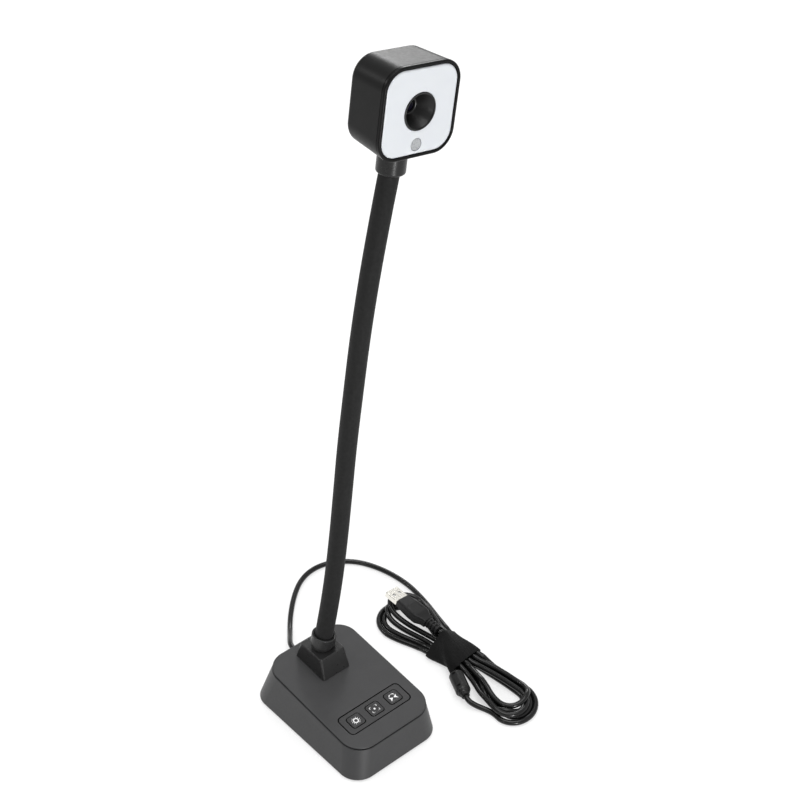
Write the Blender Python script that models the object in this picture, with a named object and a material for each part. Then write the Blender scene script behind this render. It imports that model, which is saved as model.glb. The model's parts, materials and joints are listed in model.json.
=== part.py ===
"""Document camera: a wedge base with three keys, a bending neck and a square camera head on a USB cord.

Metres, +Z up. The front faces -Y and +X is the right-hand side. The origin is on the desk, under the
middle of the base. Pieces that touch keep the clearance GAP.
"""

import math

import bmesh
import bpy
from mathutils import Euler, Matrix, Vector

GAP = 0.0003
CUT = 0.0030  # how far a cutter reaches past the faces that it cuts

# Base. The deck is the sloping top face; its own frame has W along the face's normal.
BASE_WIDTH, BASE_DEPTH, BASE_CORNER = 0.0781, 0.1150, 0.0150
BASE_SHIFT = (-0.0009, 0.0023)  # middle of the foot's outline
DECK_WIDTH, DECK_DEPTH, DECK_CORNER = 0.0704, 0.1016, 0.0155
DECK_SHIFT = (0.0006, -0.0002)  # middle of the deck, to the right and up its slope
DECK_HEIGHT = 0.0291  # above the desk, at the middle of the base
DECK_SLOPE = math.radians(5.15)  # down towards the front
SKIRT_FOOT = 0.0008
SKIRT_WALL = 0.0022
SKIRT_ROUNDING = 0.0005
SKIRT_LEAN = 0.0003  # how far the skirt's top edge stands out past the lid
SEAM = 0.0007  # shadow gap under the lid's edge
LID_EDGE = 0.0008  # rounding of the lid's edge
LID_THICKNESS = 0.0026
LID_LIP = 0.0013
POST_PLACES = [(x, y) for x in (-0.024, 0.024) for y in (-0.039, 0.039)]
POST_RADIUS = 0.0030
SCREW_RADIUS, SCREW_LENGTH, SCREW_HEAD, SCREW_HEAD_HEIGHT = 0.0012, 0.0120, 0.0026, 0.0013
PAD = (0.0640, 0.0940, 0.0160, 0.0016)  # width, depth, corner, thickness
PLATE_THICKNESS, PLATE_PLAY = 0.0020, 0.0011
BALLAST = (0.0580, 0.0700, 0.0040, 0.0080)

# Keys, in the deck's frame
KEY_NAMES = ("light", "focus", "mirror")
KEY_PITCH = 0.0165
KEY_ROW = -0.0279
KEY_SIZE = (0.0104, 0.0096, 0.0019)
KEY_PROUD = 0.0003
KEY_ROUNDING, KEY_RIM, KEY_SLOPE, KEY_DISH = 0.0003, 0.0011, 0.0015, 0.00025
KEY_FLANGE, FLANGE_THICKNESS = 0.0006, 0.0009
KEY_TRAVEL = 0.0005
SURROUND = (0.0530, 0.0168, 0.0031, 0.0016)
STEM_RADIUS, STEM_DEPTH = 0.0014, 0.0064
SWITCH = (0.0060, 0.0035, 0.0049)  # side, height, depth of its top below the deck
SWITCH_CORNER, STEM_PLAY = 0.0005, 0.0004
BOARD = (0.0540, 0.0160, 0.0020, 0.0016)

# Pedestal and neck
PEDESTAL_PLACE = (0.0, 0.0274)
PEDESTAL_TOP = 0.0464
PEDESTAL_FOOT_SIZE = (0.0238, 0.0314, 0.0018)
PEDESTAL_TOP_SIZE = (0.0212, 0.0232, 0.0016)
PEDESTAL_CHAMFER = 0.0005
NECK_RADIUS = 0.0064
CORE_RADIUS = 0.0032
NECK_HEADING = math.radians(-19.6)
NECK_LEANS = [math.radians(a) for a in (10.0, 7.3, 5.9, 5.6, 7.1, 7.3, 8.9, 10.4, 11.3)]
NECK_FIRST, NECK_LINK, NECK_LAST = 0.0504, 0.0398, 0.0396
NECK_FOOT = 0.0042  # where the neck starts, above the pedestal's top
JOINT_RADIUS = 0.0068  # ball surface between two links, about the bending point
JOINT_RIM = 0.0003
COLLAR_RADIUS, COLLAR_HEIGHT = 0.0087, 0.0105
COLLAR_BORE = 0.0071
COLLAR_NECK, COLLAR_STEP, COLLAR_ROUNDING = 0.0076, 0.0026, 0.0007

# Head, in its own frame: the front faces -Y
HEAD_CENTRE = (0.0548, 0.0062, 0.4482)
HEAD_TURN = Euler((math.radians(0.9), math.radians(7.5), math.radians(-1.5)), "XYZ")
HEAD_SIZE, HEAD_DEPTH, HEAD_CORNER = 0.0556, 0.0320, 0.0136
HEAD_BACK_SIZE = 0.0526
HEAD_FILLET = 0.0035
HEAD_WALL = 0.0020
HEAD_INNER_FILLET = 0.0020
FRAME_DEPTH, FRAME_ROUNDING = 0.0024, 0.0007
PANEL_SIZE, PANEL_CORNER, PANEL_THICKNESS = 0.0509, 0.0111, 0.0016
PANEL_SINK, PANEL_BEVEL = 0.0002, 0.0004  # how deep it sits in the frame, and its edge
HOOD_RADIUS, HOOD_THROAT, HOOD_DEPTH = 0.0112, 0.0046, 0.0098
HOOD_RIM, HOOD_ROUNDING, HOOD_FLOOR, HOOD_LEDGE = 0.0009, 0.0003, 0.0012, 0.0005
BARREL_RADIUS, BARREL_LENGTH, BARREL_NOSE = 0.0043, 0.0100, 0.0004
GLASS_SEAT, GLASS_RIM, GLASS_DEPTH, GLASS_CROWN = 0.0012, 0.0010, 0.0009, 0.0005
WINDOW_RADIUS, WINDOW_DROP, WINDOW_SINK = 0.0036, 0.0197, 0.0001
CAMERA_BOARD = (0.0260, 0.0260, 0.0015, 0.0014)
LIGHT_BOARD_INSET, LIGHT_BOARD_THICKNESS, LIGHT_BOARD_DEPTH = 0.0020, 0.0014, 0.0060
BOSS_RADIUS, BOSS_LENGTH, BOSS_BORE, BOSS_SETBACK = 0.0090, 0.0160, 0.0074, 0.0028
BOSS_BORE_DEPTH, BOSS_ROUNDING = 0.0082, 0.0014

# Cord. The route runs from the strain relief to the hank.
CORD_RADIUS = 0.0020
CORD_EXIT = (0.0045, 0.0668, 0.0100)
CORD_SPACING = 0.0065
CORD_ROUTE = [
    CORD_EXIT,
    (0.0046, 0.0694, 0.0100),
    (0.0057, 0.0727, 0.0094),
    (0.0082, 0.0768, 0.0080),
    (0.0116, 0.0814, 0.0060),
    (0.0152, 0.0861, 0.0041),
    (0.0190, 0.0911, 0.0027),
    (0.0232, 0.0964, 0.0021),
    (0.0286, 0.1027, 0.0020),
    (0.0377, 0.1121, 0.0020),
    (0.0475, 0.1207, 0.0020),
    (0.0570, 0.1272, 0.0020),
    (0.0672, 0.1313, 0.0020),
    (0.0785, 0.1321, 0.0020),
    (0.0895, 0.1290, 0.0020),
    (0.0990, 0.1227, 0.0020),
    (0.1068, 0.1135, 0.0020),
    (0.1127, 0.1007, 0.0020),
    (0.1163, 0.0860, 0.0020),
    (0.1175, 0.0705, 0.0020),
    (0.1160, 0.0555, 0.0022),
    (0.1132, 0.0410, 0.0025),
    (0.1096, 0.0270, 0.0031),
    (0.1062, 0.0130, 0.0040),
]
# Hank: (y, lowest x, highest x, lowest z, highest z) of its outer shape along its length
HANK_SECTIONS = [
    (0.0590, 0.0815, 0.0900, 0.0006, 0.0045),
    (0.0568, 0.0770, 0.0945, 0.0003, 0.0065),
    (0.0495, 0.0707, 0.0995, 0.0003, 0.0078),
    (0.0380, 0.0686, 0.1040, 0.0003, 0.0078),
    (0.0250, 0.0700, 0.1050, 0.0003, 0.0078),
    (0.0140, 0.0735, 0.1015, 0.0003, 0.0080),
    (0.0088, 0.0755, 0.1015, 0.0010, 0.0085),
    (0.0078, 0.0765, 0.1030, 0.0020, 0.0128),
    (-0.0218, 0.0765, 0.1030, 0.0020, 0.0128),
    (-0.0240, 0.0862, 0.1060, 0.0003, 0.0115),
    (-0.0320, 0.0840, 0.1090, 0.0003, 0.0098),
    (-0.0470, 0.0775, 0.1115, 0.0003, 0.0090),
    (-0.0600, 0.0717, 0.1120, 0.0003, 0.0090),
    (-0.0720, 0.0722, 0.1095, 0.0003, 0.0090),
    (-0.0830, 0.0765, 0.1035, 0.0003, 0.0085),
    (-0.0895, 0.0815, 0.0980, 0.0003, 0.0070),
    (-0.0920, 0.0860, 0.0930, 0.0006, 0.0045),
]
TIE_SPAN = (0.0070, -0.0210)
TIE_THICKNESS = 0.0015
FERRITE_CENTRE, FERRITE_HEADING = (0.0742, -0.0352, 0.0056), math.radians(-114.0)
FERRITE_RADIUS, FERRITE_LENGTH, FERRITE_ROUNDING = 0.0055, 0.0235, 0.0016
PLUG_ROOT = (0.0926, 0.0488, 0.0164)
PLUG_TURN = Euler((math.radians(6.0), math.radians(8.0), math.radians(3.6)), "XYZ")
PLUG_SIZE = (0.0155, 0.0080, 0.0280)
PLUG_SHOULDER = (0.0090, 0.0066, 0.0090)  # width and height at the relief, and how long it widens
PLUG_CORNER, PLUG_ROUNDING = 0.0024, 0.0006
PLUG_RELIEF = (0.0036, 0.0028, 0.0115)  # thick and thin radius, length
USB_SHELL = (0.0120, 0.0045, 0.0120, 0.0004)  # width, height, length, wall
USB_TONGUE, TONGUE_DROP = (0.0100, 0.0016, 0.0090), 0.0007

# Strain relief, from its inner flange out along the cord
RELIEF_FLANGE, RELIEF_GROOVE, RELIEF_SHOULDER = 0.0056, 0.0040, 0.0050
FLANGE_WIDTH, SHOULDER_WIDTH = 0.0014, 0.0030
RELIEF_RIBS, RELIEF_RADIUS, RELIEF_TAPER, RIB_HEIGHT = 4, 0.0038, 0.0002, 0.0006
RELIEF_TIP = 0.0026


def clear_scene():
    for obj in list(bpy.data.objects):
        bpy.data.objects.remove(obj, do_unlink=True)


def material(name, colour, roughness, metallic=0.0):
    """A Principled material, made once for each name."""
    found = bpy.data.materials.get(name)
    if found:
        return found
    made = bpy.data.materials.new(name)
    made.use_nodes = True
    shader = made.node_tree.nodes["Principled BSDF"]
    shader.inputs["Base Color"].default_value = (*colour, 1.0)
    shader.inputs["Roughness"].default_value = roughness
    shader.inputs["Metallic"].default_value = metallic
    made.diffuse_color = (*colour, 1.0)
    return made


def rounded_rect(width, depth, corner, steps=6):
    """Points of a rectangle with round corners, anticlockwise, as (x, y)."""
    points = []
    for quarter, (sx, sy) in enumerate(((1, 1), (-1, 1), (-1, -1), (1, -1))):
        centre = (sx * (width / 2 - corner), sy * (depth / 2 - corner))
        for step in range(steps + 1):
            angle = math.pi / 2 * (quarter + step / steps)
            points.append((centre[0] + corner * math.cos(angle), centre[1] + corner * math.sin(angle)))
    return points


def circle(radius, sides=20):
    turns = [2 * math.pi * i / sides for i in range(sides)]
    return [(radius * math.cos(a), radius * math.sin(a)) for a in turns]


def flat(outline, height):
    """The outline as a ring of points at one height."""
    return [Vector((x, y, height)) for x, y in outline]


def skin(name, rings, finish, loop=False, place=Matrix.Identity(4)):
    """A closed solid through rings of points. A ring of one point is a tip. With loop, the last ring joins
    the first; without it, the end rings are filled."""
    mesh = bmesh.new()
    loops = [[mesh.verts.new(p) for p in ring] for ring in rings]
    pairs = list(zip(loops, loops[1:] + loops[:1]))
    for low, high in pairs if loop else pairs[:-1]:
        count = max(len(low), len(high))
        for i in range(count):
            corners = [low[i % len(low)], low[(i + 1) % len(low)]]
            corners += [high[(i + 1) % len(high)], high[i % len(high)]]
            mesh.faces.new(list(dict.fromkeys(corners)))
    if not loop:
        for end in (loops[0], loops[-1]):
            if len(end) > 2:
                mesh.faces.new(end)
    bmesh.ops.recalc_face_normals(mesh, faces=mesh.faces)
    data = bpy.data.meshes.new(name)
    mesh.to_mesh(data)
    mesh.free()
    obj = bpy.data.objects.new(name, data)
    bpy.context.collection.objects.link(obj)
    obj.data.materials.append(finish)
    obj.matrix_world = place
    return obj


def turned(name, profile, finish, sides=20, loop=False, place=Matrix.Identity(4)):
    """A solid of revolution about Z through (radius, height) points. Radius 0 makes a tip."""
    rings = [flat(circle(r, sides), h) if r > 0 else [Vector((0, 0, h))] for r, h in profile]
    return skin(name, rings, finish, loop, place)


def slab(name, size, top, finish, place=Matrix.Identity(4), steps=5):
    """A flat plate with round corners. size is (width, depth, corner, thickness)."""
    outline = rounded_rect(size[0], size[1], size[2], steps)
    return skin(name, [flat(outline, top - size[3]), flat(outline, top)], finish, place=place)


def boolean(obj, tool, operation):
    """Adds tool to obj, or cuts it out of obj. The tool itself isn't part of the object."""
    change = obj.modifiers.new(operation.title(), "BOOLEAN")
    change.operation = operation
    change.solver = "EXACT"
    change.object = tool
    tool.hide_render = True
    tool.display_type = "WIRE"


def frame_at(point, axis):
    """A frame with Z along axis and X as near to the world's X as it can be."""
    z = Vector(axis).normalized()
    x = (Vector((1, 0, 0)) - z * z.x).normalized()
    turn = Matrix((x, z.cross(x), z)).transposed()
    return Matrix.Translation(point) @ turn.to_4x4()


def deck_frame():
    """The sloping top face: X to the right, Y up the slope, Z out of the face."""
    return Matrix.Translation((DECK_SHIFT[0], 0, DECK_HEIGHT)) @ Matrix.Rotation(DECK_SLOPE, 4, "X")


def on_deck(outline, height):
    """The outline as a ring of world points at a height over the deck."""
    return [deck_frame() @ Vector((x, y, height)) for x, y in outline]


def deck_outline(inset):
    points = rounded_rect(DECK_WIDTH - 2 * inset, DECK_DEPTH - 2 * inset, DECK_CORNER - inset, 8)
    return [(x, y + DECK_SHIFT[1]) for x, y in points]


def base_outline(inset):
    points = rounded_rect(BASE_WIDTH - 2 * inset, BASE_DEPTH - 2 * inset, BASE_CORNER - inset, 8)
    return [(x + BASE_SHIFT[0], y + BASE_SHIFT[1]) for x, y in points]


def back_wall():
    """The outside of the skirt's back wall at the cord's height: its y, and how much nearer to the front it
    is for each metre up."""
    foot = Vector((0, BASE_SHIFT[1] + BASE_DEPTH / 2, SKIRT_FOOT + SKIRT_ROUNDING))
    edge = (0, DECK_SHIFT[1] + DECK_DEPTH / 2 + SKIRT_LEAN, -seam_depth() - SKIRT_ROUNDING)
    top = deck_frame() @ Vector(edge)
    lean = (foot.y - top.y) / (top.z - foot.z)
    return foot.y - lean * (CORD_EXIT[2] - foot.z), lean


def seam_depth():
    """Depth below the deck of the skirt's outer rim."""
    return LID_EDGE + SEAM + GAP


def build_skirt(finish):
    rim = seam_depth()
    ledge = SKIRT_WALL / 2
    rings = [
        flat(base_outline(SKIRT_WALL), SKIRT_FOOT),
        flat(base_outline(SKIRT_ROUNDING), SKIRT_FOOT),
        flat(base_outline(0.0), SKIRT_FOOT + SKIRT_ROUNDING),
        on_deck(deck_outline(-SKIRT_LEAN), -rim - SKIRT_ROUNDING),
        on_deck(deck_outline(SKIRT_ROUNDING - SKIRT_LEAN), -rim),
        on_deck(deck_outline(ledge), -rim),
        on_deck(deck_outline(ledge), -LID_LIP - GAP),
        on_deck(deck_outline(SKIRT_WALL), -LID_LIP - GAP),
    ]
    skirt = skin("base_skirt", rings, finish, loop=True)
    radius = RELIEF_GROOVE + GAP
    profile = [(radius, -2 * CUT), (radius, 2 * CUT)]
    hole = turned("cord_hole", profile, finish, 16, place=cord_exit_frame(back_wall()[0]))
    boolean(skirt, hole, "DIFFERENCE")


def build_lid(finish):
    inner = SKIRT_WALL + GAP
    rings = [
        on_deck(deck_outline(inner), -LID_THICKNESS),
        on_deck(deck_outline(inner), -LID_LIP),
        on_deck(deck_outline(0.0), -LID_LIP),
        on_deck(deck_outline(0.0), -LID_EDGE),
        on_deck(deck_outline(LID_EDGE * 0.3), -LID_EDGE * 0.3),
        on_deck(deck_outline(LID_EDGE), 0.0),
    ]
    lid = skin("base_top_panel", rings, finish)
    window = [SURROUND[0] + 2 * GAP, SURROUND[1] + 2 * GAP, SURROUND[2] + GAP, 2 * CUT]
    place = deck_frame() @ Matrix.Translation((0, KEY_ROW, 0))
    boolean(lid, slab("surround_window", window, CUT, finish, place), "DIFFERENCE")
    for number, (x, y) in enumerate(POST_PLACES, 1):
        top = DECK_HEIGHT + y * math.tan(DECK_SLOPE) - LID_THICKNESS / 2
        foot = PAD[3] + PLATE_THICKNESS + 3 * GAP
        bore = SCREW_RADIUS + GAP
        profile = [(0, foot + SCREW_LENGTH), (bore, foot + SCREW_LENGTH), (bore, foot)]
        profile += [(POST_RADIUS, foot), (POST_RADIUS, top), (0, top)]
        place = Matrix.Translation((x, y, 0))
        boolean(lid, turned(f"post_{number}", profile, finish, 12, place=place), "UNION")


def build_underside(plate_finish, pad_finish, steel):
    """The pad, the bottom plate, its screws and the ballast."""
    slab("anti_slip_pad", PAD, PAD[3], pad_finish)
    low = PAD[3] + GAP
    top = low + PLATE_THICKNESS
    head = low + SCREW_HEAD_HEIGHT
    outline = base_outline(SKIRT_WALL + PLATE_PLAY)
    plate = skin("base_bottom_plate", [flat(outline, low), flat(outline, top)], plate_finish)
    for number, (x, y) in enumerate(POST_PLACES, 1):
        spot = Matrix.Translation((x, y, 0))
        profile = [(0, low - CUT), (SCREW_HEAD + GAP, low - CUT), (SCREW_HEAD + GAP, head)]
        profile += [(SCREW_RADIUS + GAP, head), (SCREW_RADIUS + GAP, top + CUT), (0, top + CUT)]
        boolean(plate, turned(f"screw_hole_{number}", profile, steel, 12, place=spot), "DIFFERENCE")
        shank = [(0, low), (SCREW_HEAD, low), (SCREW_HEAD, head - GAP), (SCREW_RADIUS, head - GAP)]
        shank += [(SCREW_RADIUS, low + SCREW_LENGTH - GAP), (0, low + SCREW_LENGTH)]
        turned(f"base_screw_{number}", shank, steel, 12, place=spot)
    slab("ballast_plate", BALLAST, top + GAP + BALLAST[3], steel)


def key_centres():
    return [(name, KEY_PITCH * (i - 1)) for i, name in enumerate(KEY_NAMES)]


def build_surround(finish):
    place = deck_frame() @ Matrix.Translation((0, KEY_ROW, 0))
    surround = slab("key_surround", SURROUND, 0.0, finish, place)
    for name, x in key_centres():
        size = [KEY_SIZE[0] + 2 * GAP, KEY_SIZE[1] + 2 * GAP, KEY_SIZE[2] + GAP, 2 * CUT]
        window = slab(f"{name}_window", size, CUT, finish, place @ Matrix.Translation((x, 0, 0)))
        boolean(surround, window, "DIFFERENCE")


def build_key(name, x, finish):
    """A cap with a dished top, a flange that keeps it under the surround, and a round stem."""
    width, depth, corner = KEY_SIZE
    under = -SURROUND[3] - GAP
    foot = under - FLANGE_THICKNESS

    def cap(inset, height):
        softer = corner - 0.6 * inset
        return flat(rounded_rect(width - 2 * inset, depth - 2 * inset, softer, 4), height)

    stem = align_ring(circle(STEM_RADIUS, len(cap(0, 0))), cap(0, 0))
    rings = [
        flat(stem, -STEM_DEPTH),
        flat(stem, foot),
        cap(-KEY_FLANGE, foot),
        cap(-KEY_FLANGE, under),
        cap(0.0, under),
        cap(0.0, KEY_PROUD - KEY_ROUNDING),
        cap(KEY_ROUNDING, KEY_PROUD),
        cap(KEY_RIM, KEY_PROUD),
        cap(KEY_RIM + KEY_SLOPE, KEY_PROUD - KEY_DISH),
    ]
    place = deck_frame() @ Matrix.Translation((x, KEY_ROW, 0))
    skin(f"key_{name}", rings, finish, place=place)


def align_ring(ring, target):
    """The ring's points, starting at the one whose direction is nearest to the target's first point."""
    goal = Vector(target[0][:2]).normalized()
    turn = max(range(len(ring)), key=lambda i: Vector(ring[i]).dot(goal))
    return ring[turn:] + ring[:turn]


def build_switches(switch_finish, board_finish):
    side, height, depth = SWITCH
    place = deck_frame() @ Matrix.Translation((0, KEY_ROW, 0))
    outline = rounded_rect(side, side, SWITCH_CORNER, 4)
    well = align_ring(circle(STEM_RADIUS + STEM_PLAY, len(outline)), outline)
    floor = -STEM_DEPTH - KEY_TRAVEL - GAP
    for name, x in key_centres():
        rings = [flat(outline, -depth - height), flat(outline, -depth), flat(well, -depth), flat(well, floor)]
        skin(f"switch_{name}", rings, switch_finish, place=place @ Matrix.Translation((x, 0, 0)))
    slab("control_board", BOARD, -depth - height - GAP, board_finish, place)


def build_pedestal(finish):
    """A square frustum whose foot follows the deck and whose top is level."""
    x0, y0 = PEDESTAL_PLACE
    slope = math.tan(DECK_SLOPE)

    def foot(gap):
        width, depth, corner = PEDESTAL_FOOT_SIZE
        points = rounded_rect(width, depth, corner, 4)
        return [Vector((x0 + x, y0 + y, DECK_HEIGHT + (y0 + y) * slope + gap)) for x, y in points]

    def head(inset, height):
        width, depth, corner = PEDESTAL_TOP_SIZE
        points = rounded_rect(width - 2 * inset, depth - 2 * inset, corner - inset, 4)
        return [Vector((x0 + x, y0 + y, height)) for x, y in points]

    rings = [foot(GAP / math.cos(DECK_SLOPE)), head(0.0, PEDESTAL_TOP - PEDESTAL_CHAMFER)]
    rings += [head(PEDESTAL_CHAMFER, PEDESTAL_TOP)]
    skin("pedestal", rings, finish)


def neck_start():
    return Vector((*PEDESTAL_PLACE, PEDESTAL_TOP))


def neck_axes():
    """The direction of each link, from the base to the head."""
    away = Vector((math.cos(NECK_HEADING), math.sin(NECK_HEADING), 0))
    return [away * math.sin(lean) + Vector((0, 0, math.cos(lean))) for lean in NECK_LEANS]


def neck_pivots():
    """The bending points between the links, from the base to the head."""
    axes = neck_axes()
    points = [neck_start() + axes[0] * NECK_FIRST]
    for axis in axes[1:-1]:
        points.append(points[-1] + axis * NECK_LINK)
    return points


def ball(radius, r):
    """Distance from the bending point, along the axis, of its ball surface at the radius r."""
    return math.sqrt(radius * radius - r * r)


def link_profiles(length, first, last):
    """(sleeve, core) profiles of a link whose lower bending point is at height 0. The lower end is a dome
    about that point, and the upper end a socket about the next one, unless it is the first or last link."""
    wide, narrow = JOINT_RADIUS + GAP, CORE_RADIUS + GAP
    rim = NECK_RADIUS - JOINT_RIM
    between = (NECK_RADIUS + narrow) / 2
    if first:
        sleeve = [(narrow, 0), (NECK_RADIUS, 0)]
        core = [(0, 0), (CORE_RADIUS, 0)]
    else:
        radii = (narrow, between, (between + NECK_RADIUS) / 2, NECK_RADIUS)
        sleeve = [(r, -ball(JOINT_RADIUS, r)) for r in radii]
        core = [(r, -ball(JOINT_RADIUS, r)) for r in (0, CORE_RADIUS / 2, CORE_RADIUS)]
    if last:
        sleeve += [(NECK_RADIUS, length), (narrow, length)]
        core += [(CORE_RADIUS, length), (0, length)]
    else:
        sleeve += [(NECK_RADIUS, length - ball(wide, rim))]
        sleeve += [(r, length - ball(wide, r)) for r in (rim, (between + rim) / 2, between, narrow)]
        core += [(r, length - ball(wide, r)) for r in (CORE_RADIUS, CORE_RADIUS / 2, 0)]
    return sleeve, core


def build_neck(sleeve_finish, core_finish):
    axes = neck_axes()
    starts = [neck_start() + axes[0] * NECK_FOOT] + neck_pivots()
    lengths = [NECK_FIRST - NECK_FOOT] + [NECK_LINK] * (len(axes) - 2) + [NECK_LAST]
    for i, (start, axis, length) in enumerate(zip(starts, axes, lengths)):
        sleeve, core = link_profiles(length, i == 0, i == len(axes) - 1)
        place = frame_at(start, axis)
        turned(f"neck_sleeve_{i + 1}", sleeve, sleeve_finish, 18, True, place)
        turned(f"neck_core_{i + 1}", core, core_finish, 10, False, place)


def build_lower_collar(finish):
    """A stepped ring whose foot is level and whose rim is square to the neck."""
    axis = neck_axes()[0]
    turn = frame_at((0, 0, 0), axis)

    def ring(radius, along, tilted):
        centre = neck_start() + axis * along
        points = flat(circle(radius, 24), 0)
        return [centre + (turn @ p if tilted else p) for p in points]

    softer = COLLAR_RADIUS - COLLAR_ROUNDING / 2
    rings = [
        ring(COLLAR_NECK, GAP, False),
        ring(COLLAR_NECK, COLLAR_STEP, True),
        ring(softer, COLLAR_STEP + COLLAR_ROUNDING / 4, True),
        ring(COLLAR_RADIUS, COLLAR_STEP + COLLAR_ROUNDING, True),
        ring(COLLAR_RADIUS, COLLAR_HEIGHT - COLLAR_ROUNDING, True),
        ring(COLLAR_RADIUS - COLLAR_ROUNDING, COLLAR_HEIGHT, True),
        ring(COLLAR_BORE, COLLAR_HEIGHT, True),
        ring(COLLAR_BORE, NECK_FOOT - GAP, True),
    ]
    skin("neck_collar_lower", rings, finish)


def head_frame():
    return Matrix.Translation(HEAD_CENTRE) @ HEAD_TURN.to_matrix().to_4x4()


def facing(offset=(0.0, 0.0)):
    """The head's frame turned so that Z points out of its front, with X to the right and Y up. offset is
    the distance to the right and up."""
    return head_frame() @ Matrix.Translation((offset[0], 0, offset[1])) @ Matrix.Rotation(math.pi / 2, 4, "X")


def build_housing(finish):
    """A box with round corners, a little smaller at the back, and open at the front."""
    front = HEAD_DEPTH / 2 - FRAME_DEPTH - GAP
    back = -HEAD_DEPTH / 2
    taper = (HEAD_SIZE - HEAD_BACK_SIZE) / HEAD_DEPTH

    def outer(depth, inset=0.0):
        size = HEAD_BACK_SIZE + taper * (depth - back) - 2 * inset
        return flat(rounded_rect(size, size, HEAD_CORNER - inset, 7), depth)

    rings = [outer(back + HEAD_FILLET * (1 - math.cos(a)), HEAD_FILLET * (1 - math.sin(a)))
             for a in (0, math.pi / 6, math.pi / 3, math.pi / 2)]
    floor = back + HEAD_WALL
    rings += [outer(front), outer(front, HEAD_WALL), outer(floor + HEAD_INNER_FILLET, HEAD_WALL)]
    rings += [outer(floor, HEAD_WALL + HEAD_INNER_FILLET)]
    skin("head_housing", rings, finish, place=facing())


def build_front(frame_finish, panel_finish, window_finish):
    """The black frame, the light diffuser in it, and the round window in the diffuser."""
    face = HEAD_DEPTH / 2
    back = face - FRAME_DEPTH
    edge = FRAME_ROUNDING

    def square(size, corner, depth):
        return flat(rounded_rect(size, size, corner, 7), depth)

    hole = PANEL_SIZE + 2 * GAP
    rings = [
        square(HEAD_SIZE, HEAD_CORNER, back),
        square(HEAD_SIZE, HEAD_CORNER, face - edge),
        square(HEAD_SIZE - 0.6 * edge, HEAD_CORNER - 0.3 * edge, face - 0.3 * edge),
        square(HEAD_SIZE - 2 * edge, HEAD_CORNER - edge, face),
        square(hole, PANEL_CORNER + GAP, face),
        square(hole, PANEL_CORNER + GAP, back),
    ]
    skin("head_front_frame", rings, frame_finish, loop=True, place=facing())
    top = face - PANEL_SINK
    rings = [
        square(PANEL_SIZE, PANEL_CORNER, top - PANEL_THICKNESS),
        square(PANEL_SIZE, PANEL_CORNER, top - PANEL_BEVEL),
        square(PANEL_SIZE - 2 * PANEL_BEVEL, PANEL_CORNER - PANEL_BEVEL, top),
    ]
    panel = skin("light_diffuser", rings, panel_finish, place=facing())
    holes = (("hood", HOOD_RADIUS, 0, 28), ("window", WINDOW_RADIUS, WINDOW_DROP, 18))
    for name, radius, drop, sides in holes:
        profile = [(radius + GAP, top - PANEL_THICKNESS - CUT), (radius + GAP, top + CUT)]
        hole = turned(f"{name}_hole", profile, panel_finish, sides, place=facing((0, -drop)))
        boolean(panel, hole, "DIFFERENCE")
    low, high = top - PANEL_THICKNESS, top - WINDOW_SINK
    profile = [(0, low), (WINDOW_RADIUS, low), (WINDOW_RADIUS, high), (0, high)]
    turned("sensor_window", profile, window_finish, 18, place=facing((0, -WINDOW_DROP)))


def build_optics(hood_finish, glass_finish, board_finish):
    face = HEAD_DEPTH / 2
    lip = face + HOOD_ROUNDING
    floor = face - HOOD_DEPTH
    hood = [
        (HOOD_RADIUS, floor - HOOD_FLOOR),
        (HOOD_RADIUS, lip - HOOD_ROUNDING),
        (HOOD_RADIUS - HOOD_ROUNDING, lip),
        (HOOD_RADIUS - HOOD_RIM, lip),
        (HOOD_RADIUS - HOOD_RIM - HOOD_ROUNDING, lip - 2 * HOOD_ROUNDING),
        (HOOD_THROAT + HOOD_LEDGE, floor),
        (HOOD_THROAT, floor),
        (HOOD_THROAT, floor - HOOD_FLOOR),
    ]
    turned("lens_hood", hood, hood_finish, 28, True, facing())
    nose = floor + BARREL_NOSE
    seat = BARREL_RADIUS - GLASS_RIM
    barrel = [(0, nose - BARREL_LENGTH), (BARREL_RADIUS, nose - BARREL_LENGTH), (BARREL_RADIUS, nose)]
    barrel += [(seat, nose), (seat, nose - GLASS_SEAT), (0, nose - GLASS_SEAT)]
    turned("lens_barrel", barrel, hood_finish, 20, place=facing())
    lens = seat - GAP
    glass = [(0, nose - GLASS_DEPTH), (lens, nose - GLASS_DEPTH), (lens, nose - GLASS_CROWN)]
    glass += [(0.6 * lens, nose - 0.3 * GLASS_CROWN), (0, nose)]
    turned("lens_glass", glass, glass_finish, 20, place=facing())
    slab("camera_board", CAMERA_BOARD, nose - BARREL_LENGTH - GAP, board_finish, facing(), 3)
    side, corner = PANEL_SIZE - 2 * LIGHT_BOARD_INSET, PANEL_CORNER - LIGHT_BOARD_INSET
    light = (side, side, corner, LIGHT_BOARD_THICKNESS)
    board = slab("light_board", light, face - LIGHT_BOARD_DEPTH, board_finish, facing())
    radius = HOOD_RADIUS + 2 * GAP
    profile = [(radius, face - LIGHT_BOARD_DEPTH - CUT), (radius, face)]
    boolean(board, turned("light_board_hole", profile, board_finish, 24, place=facing()), "DIFFERENCE")


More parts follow.
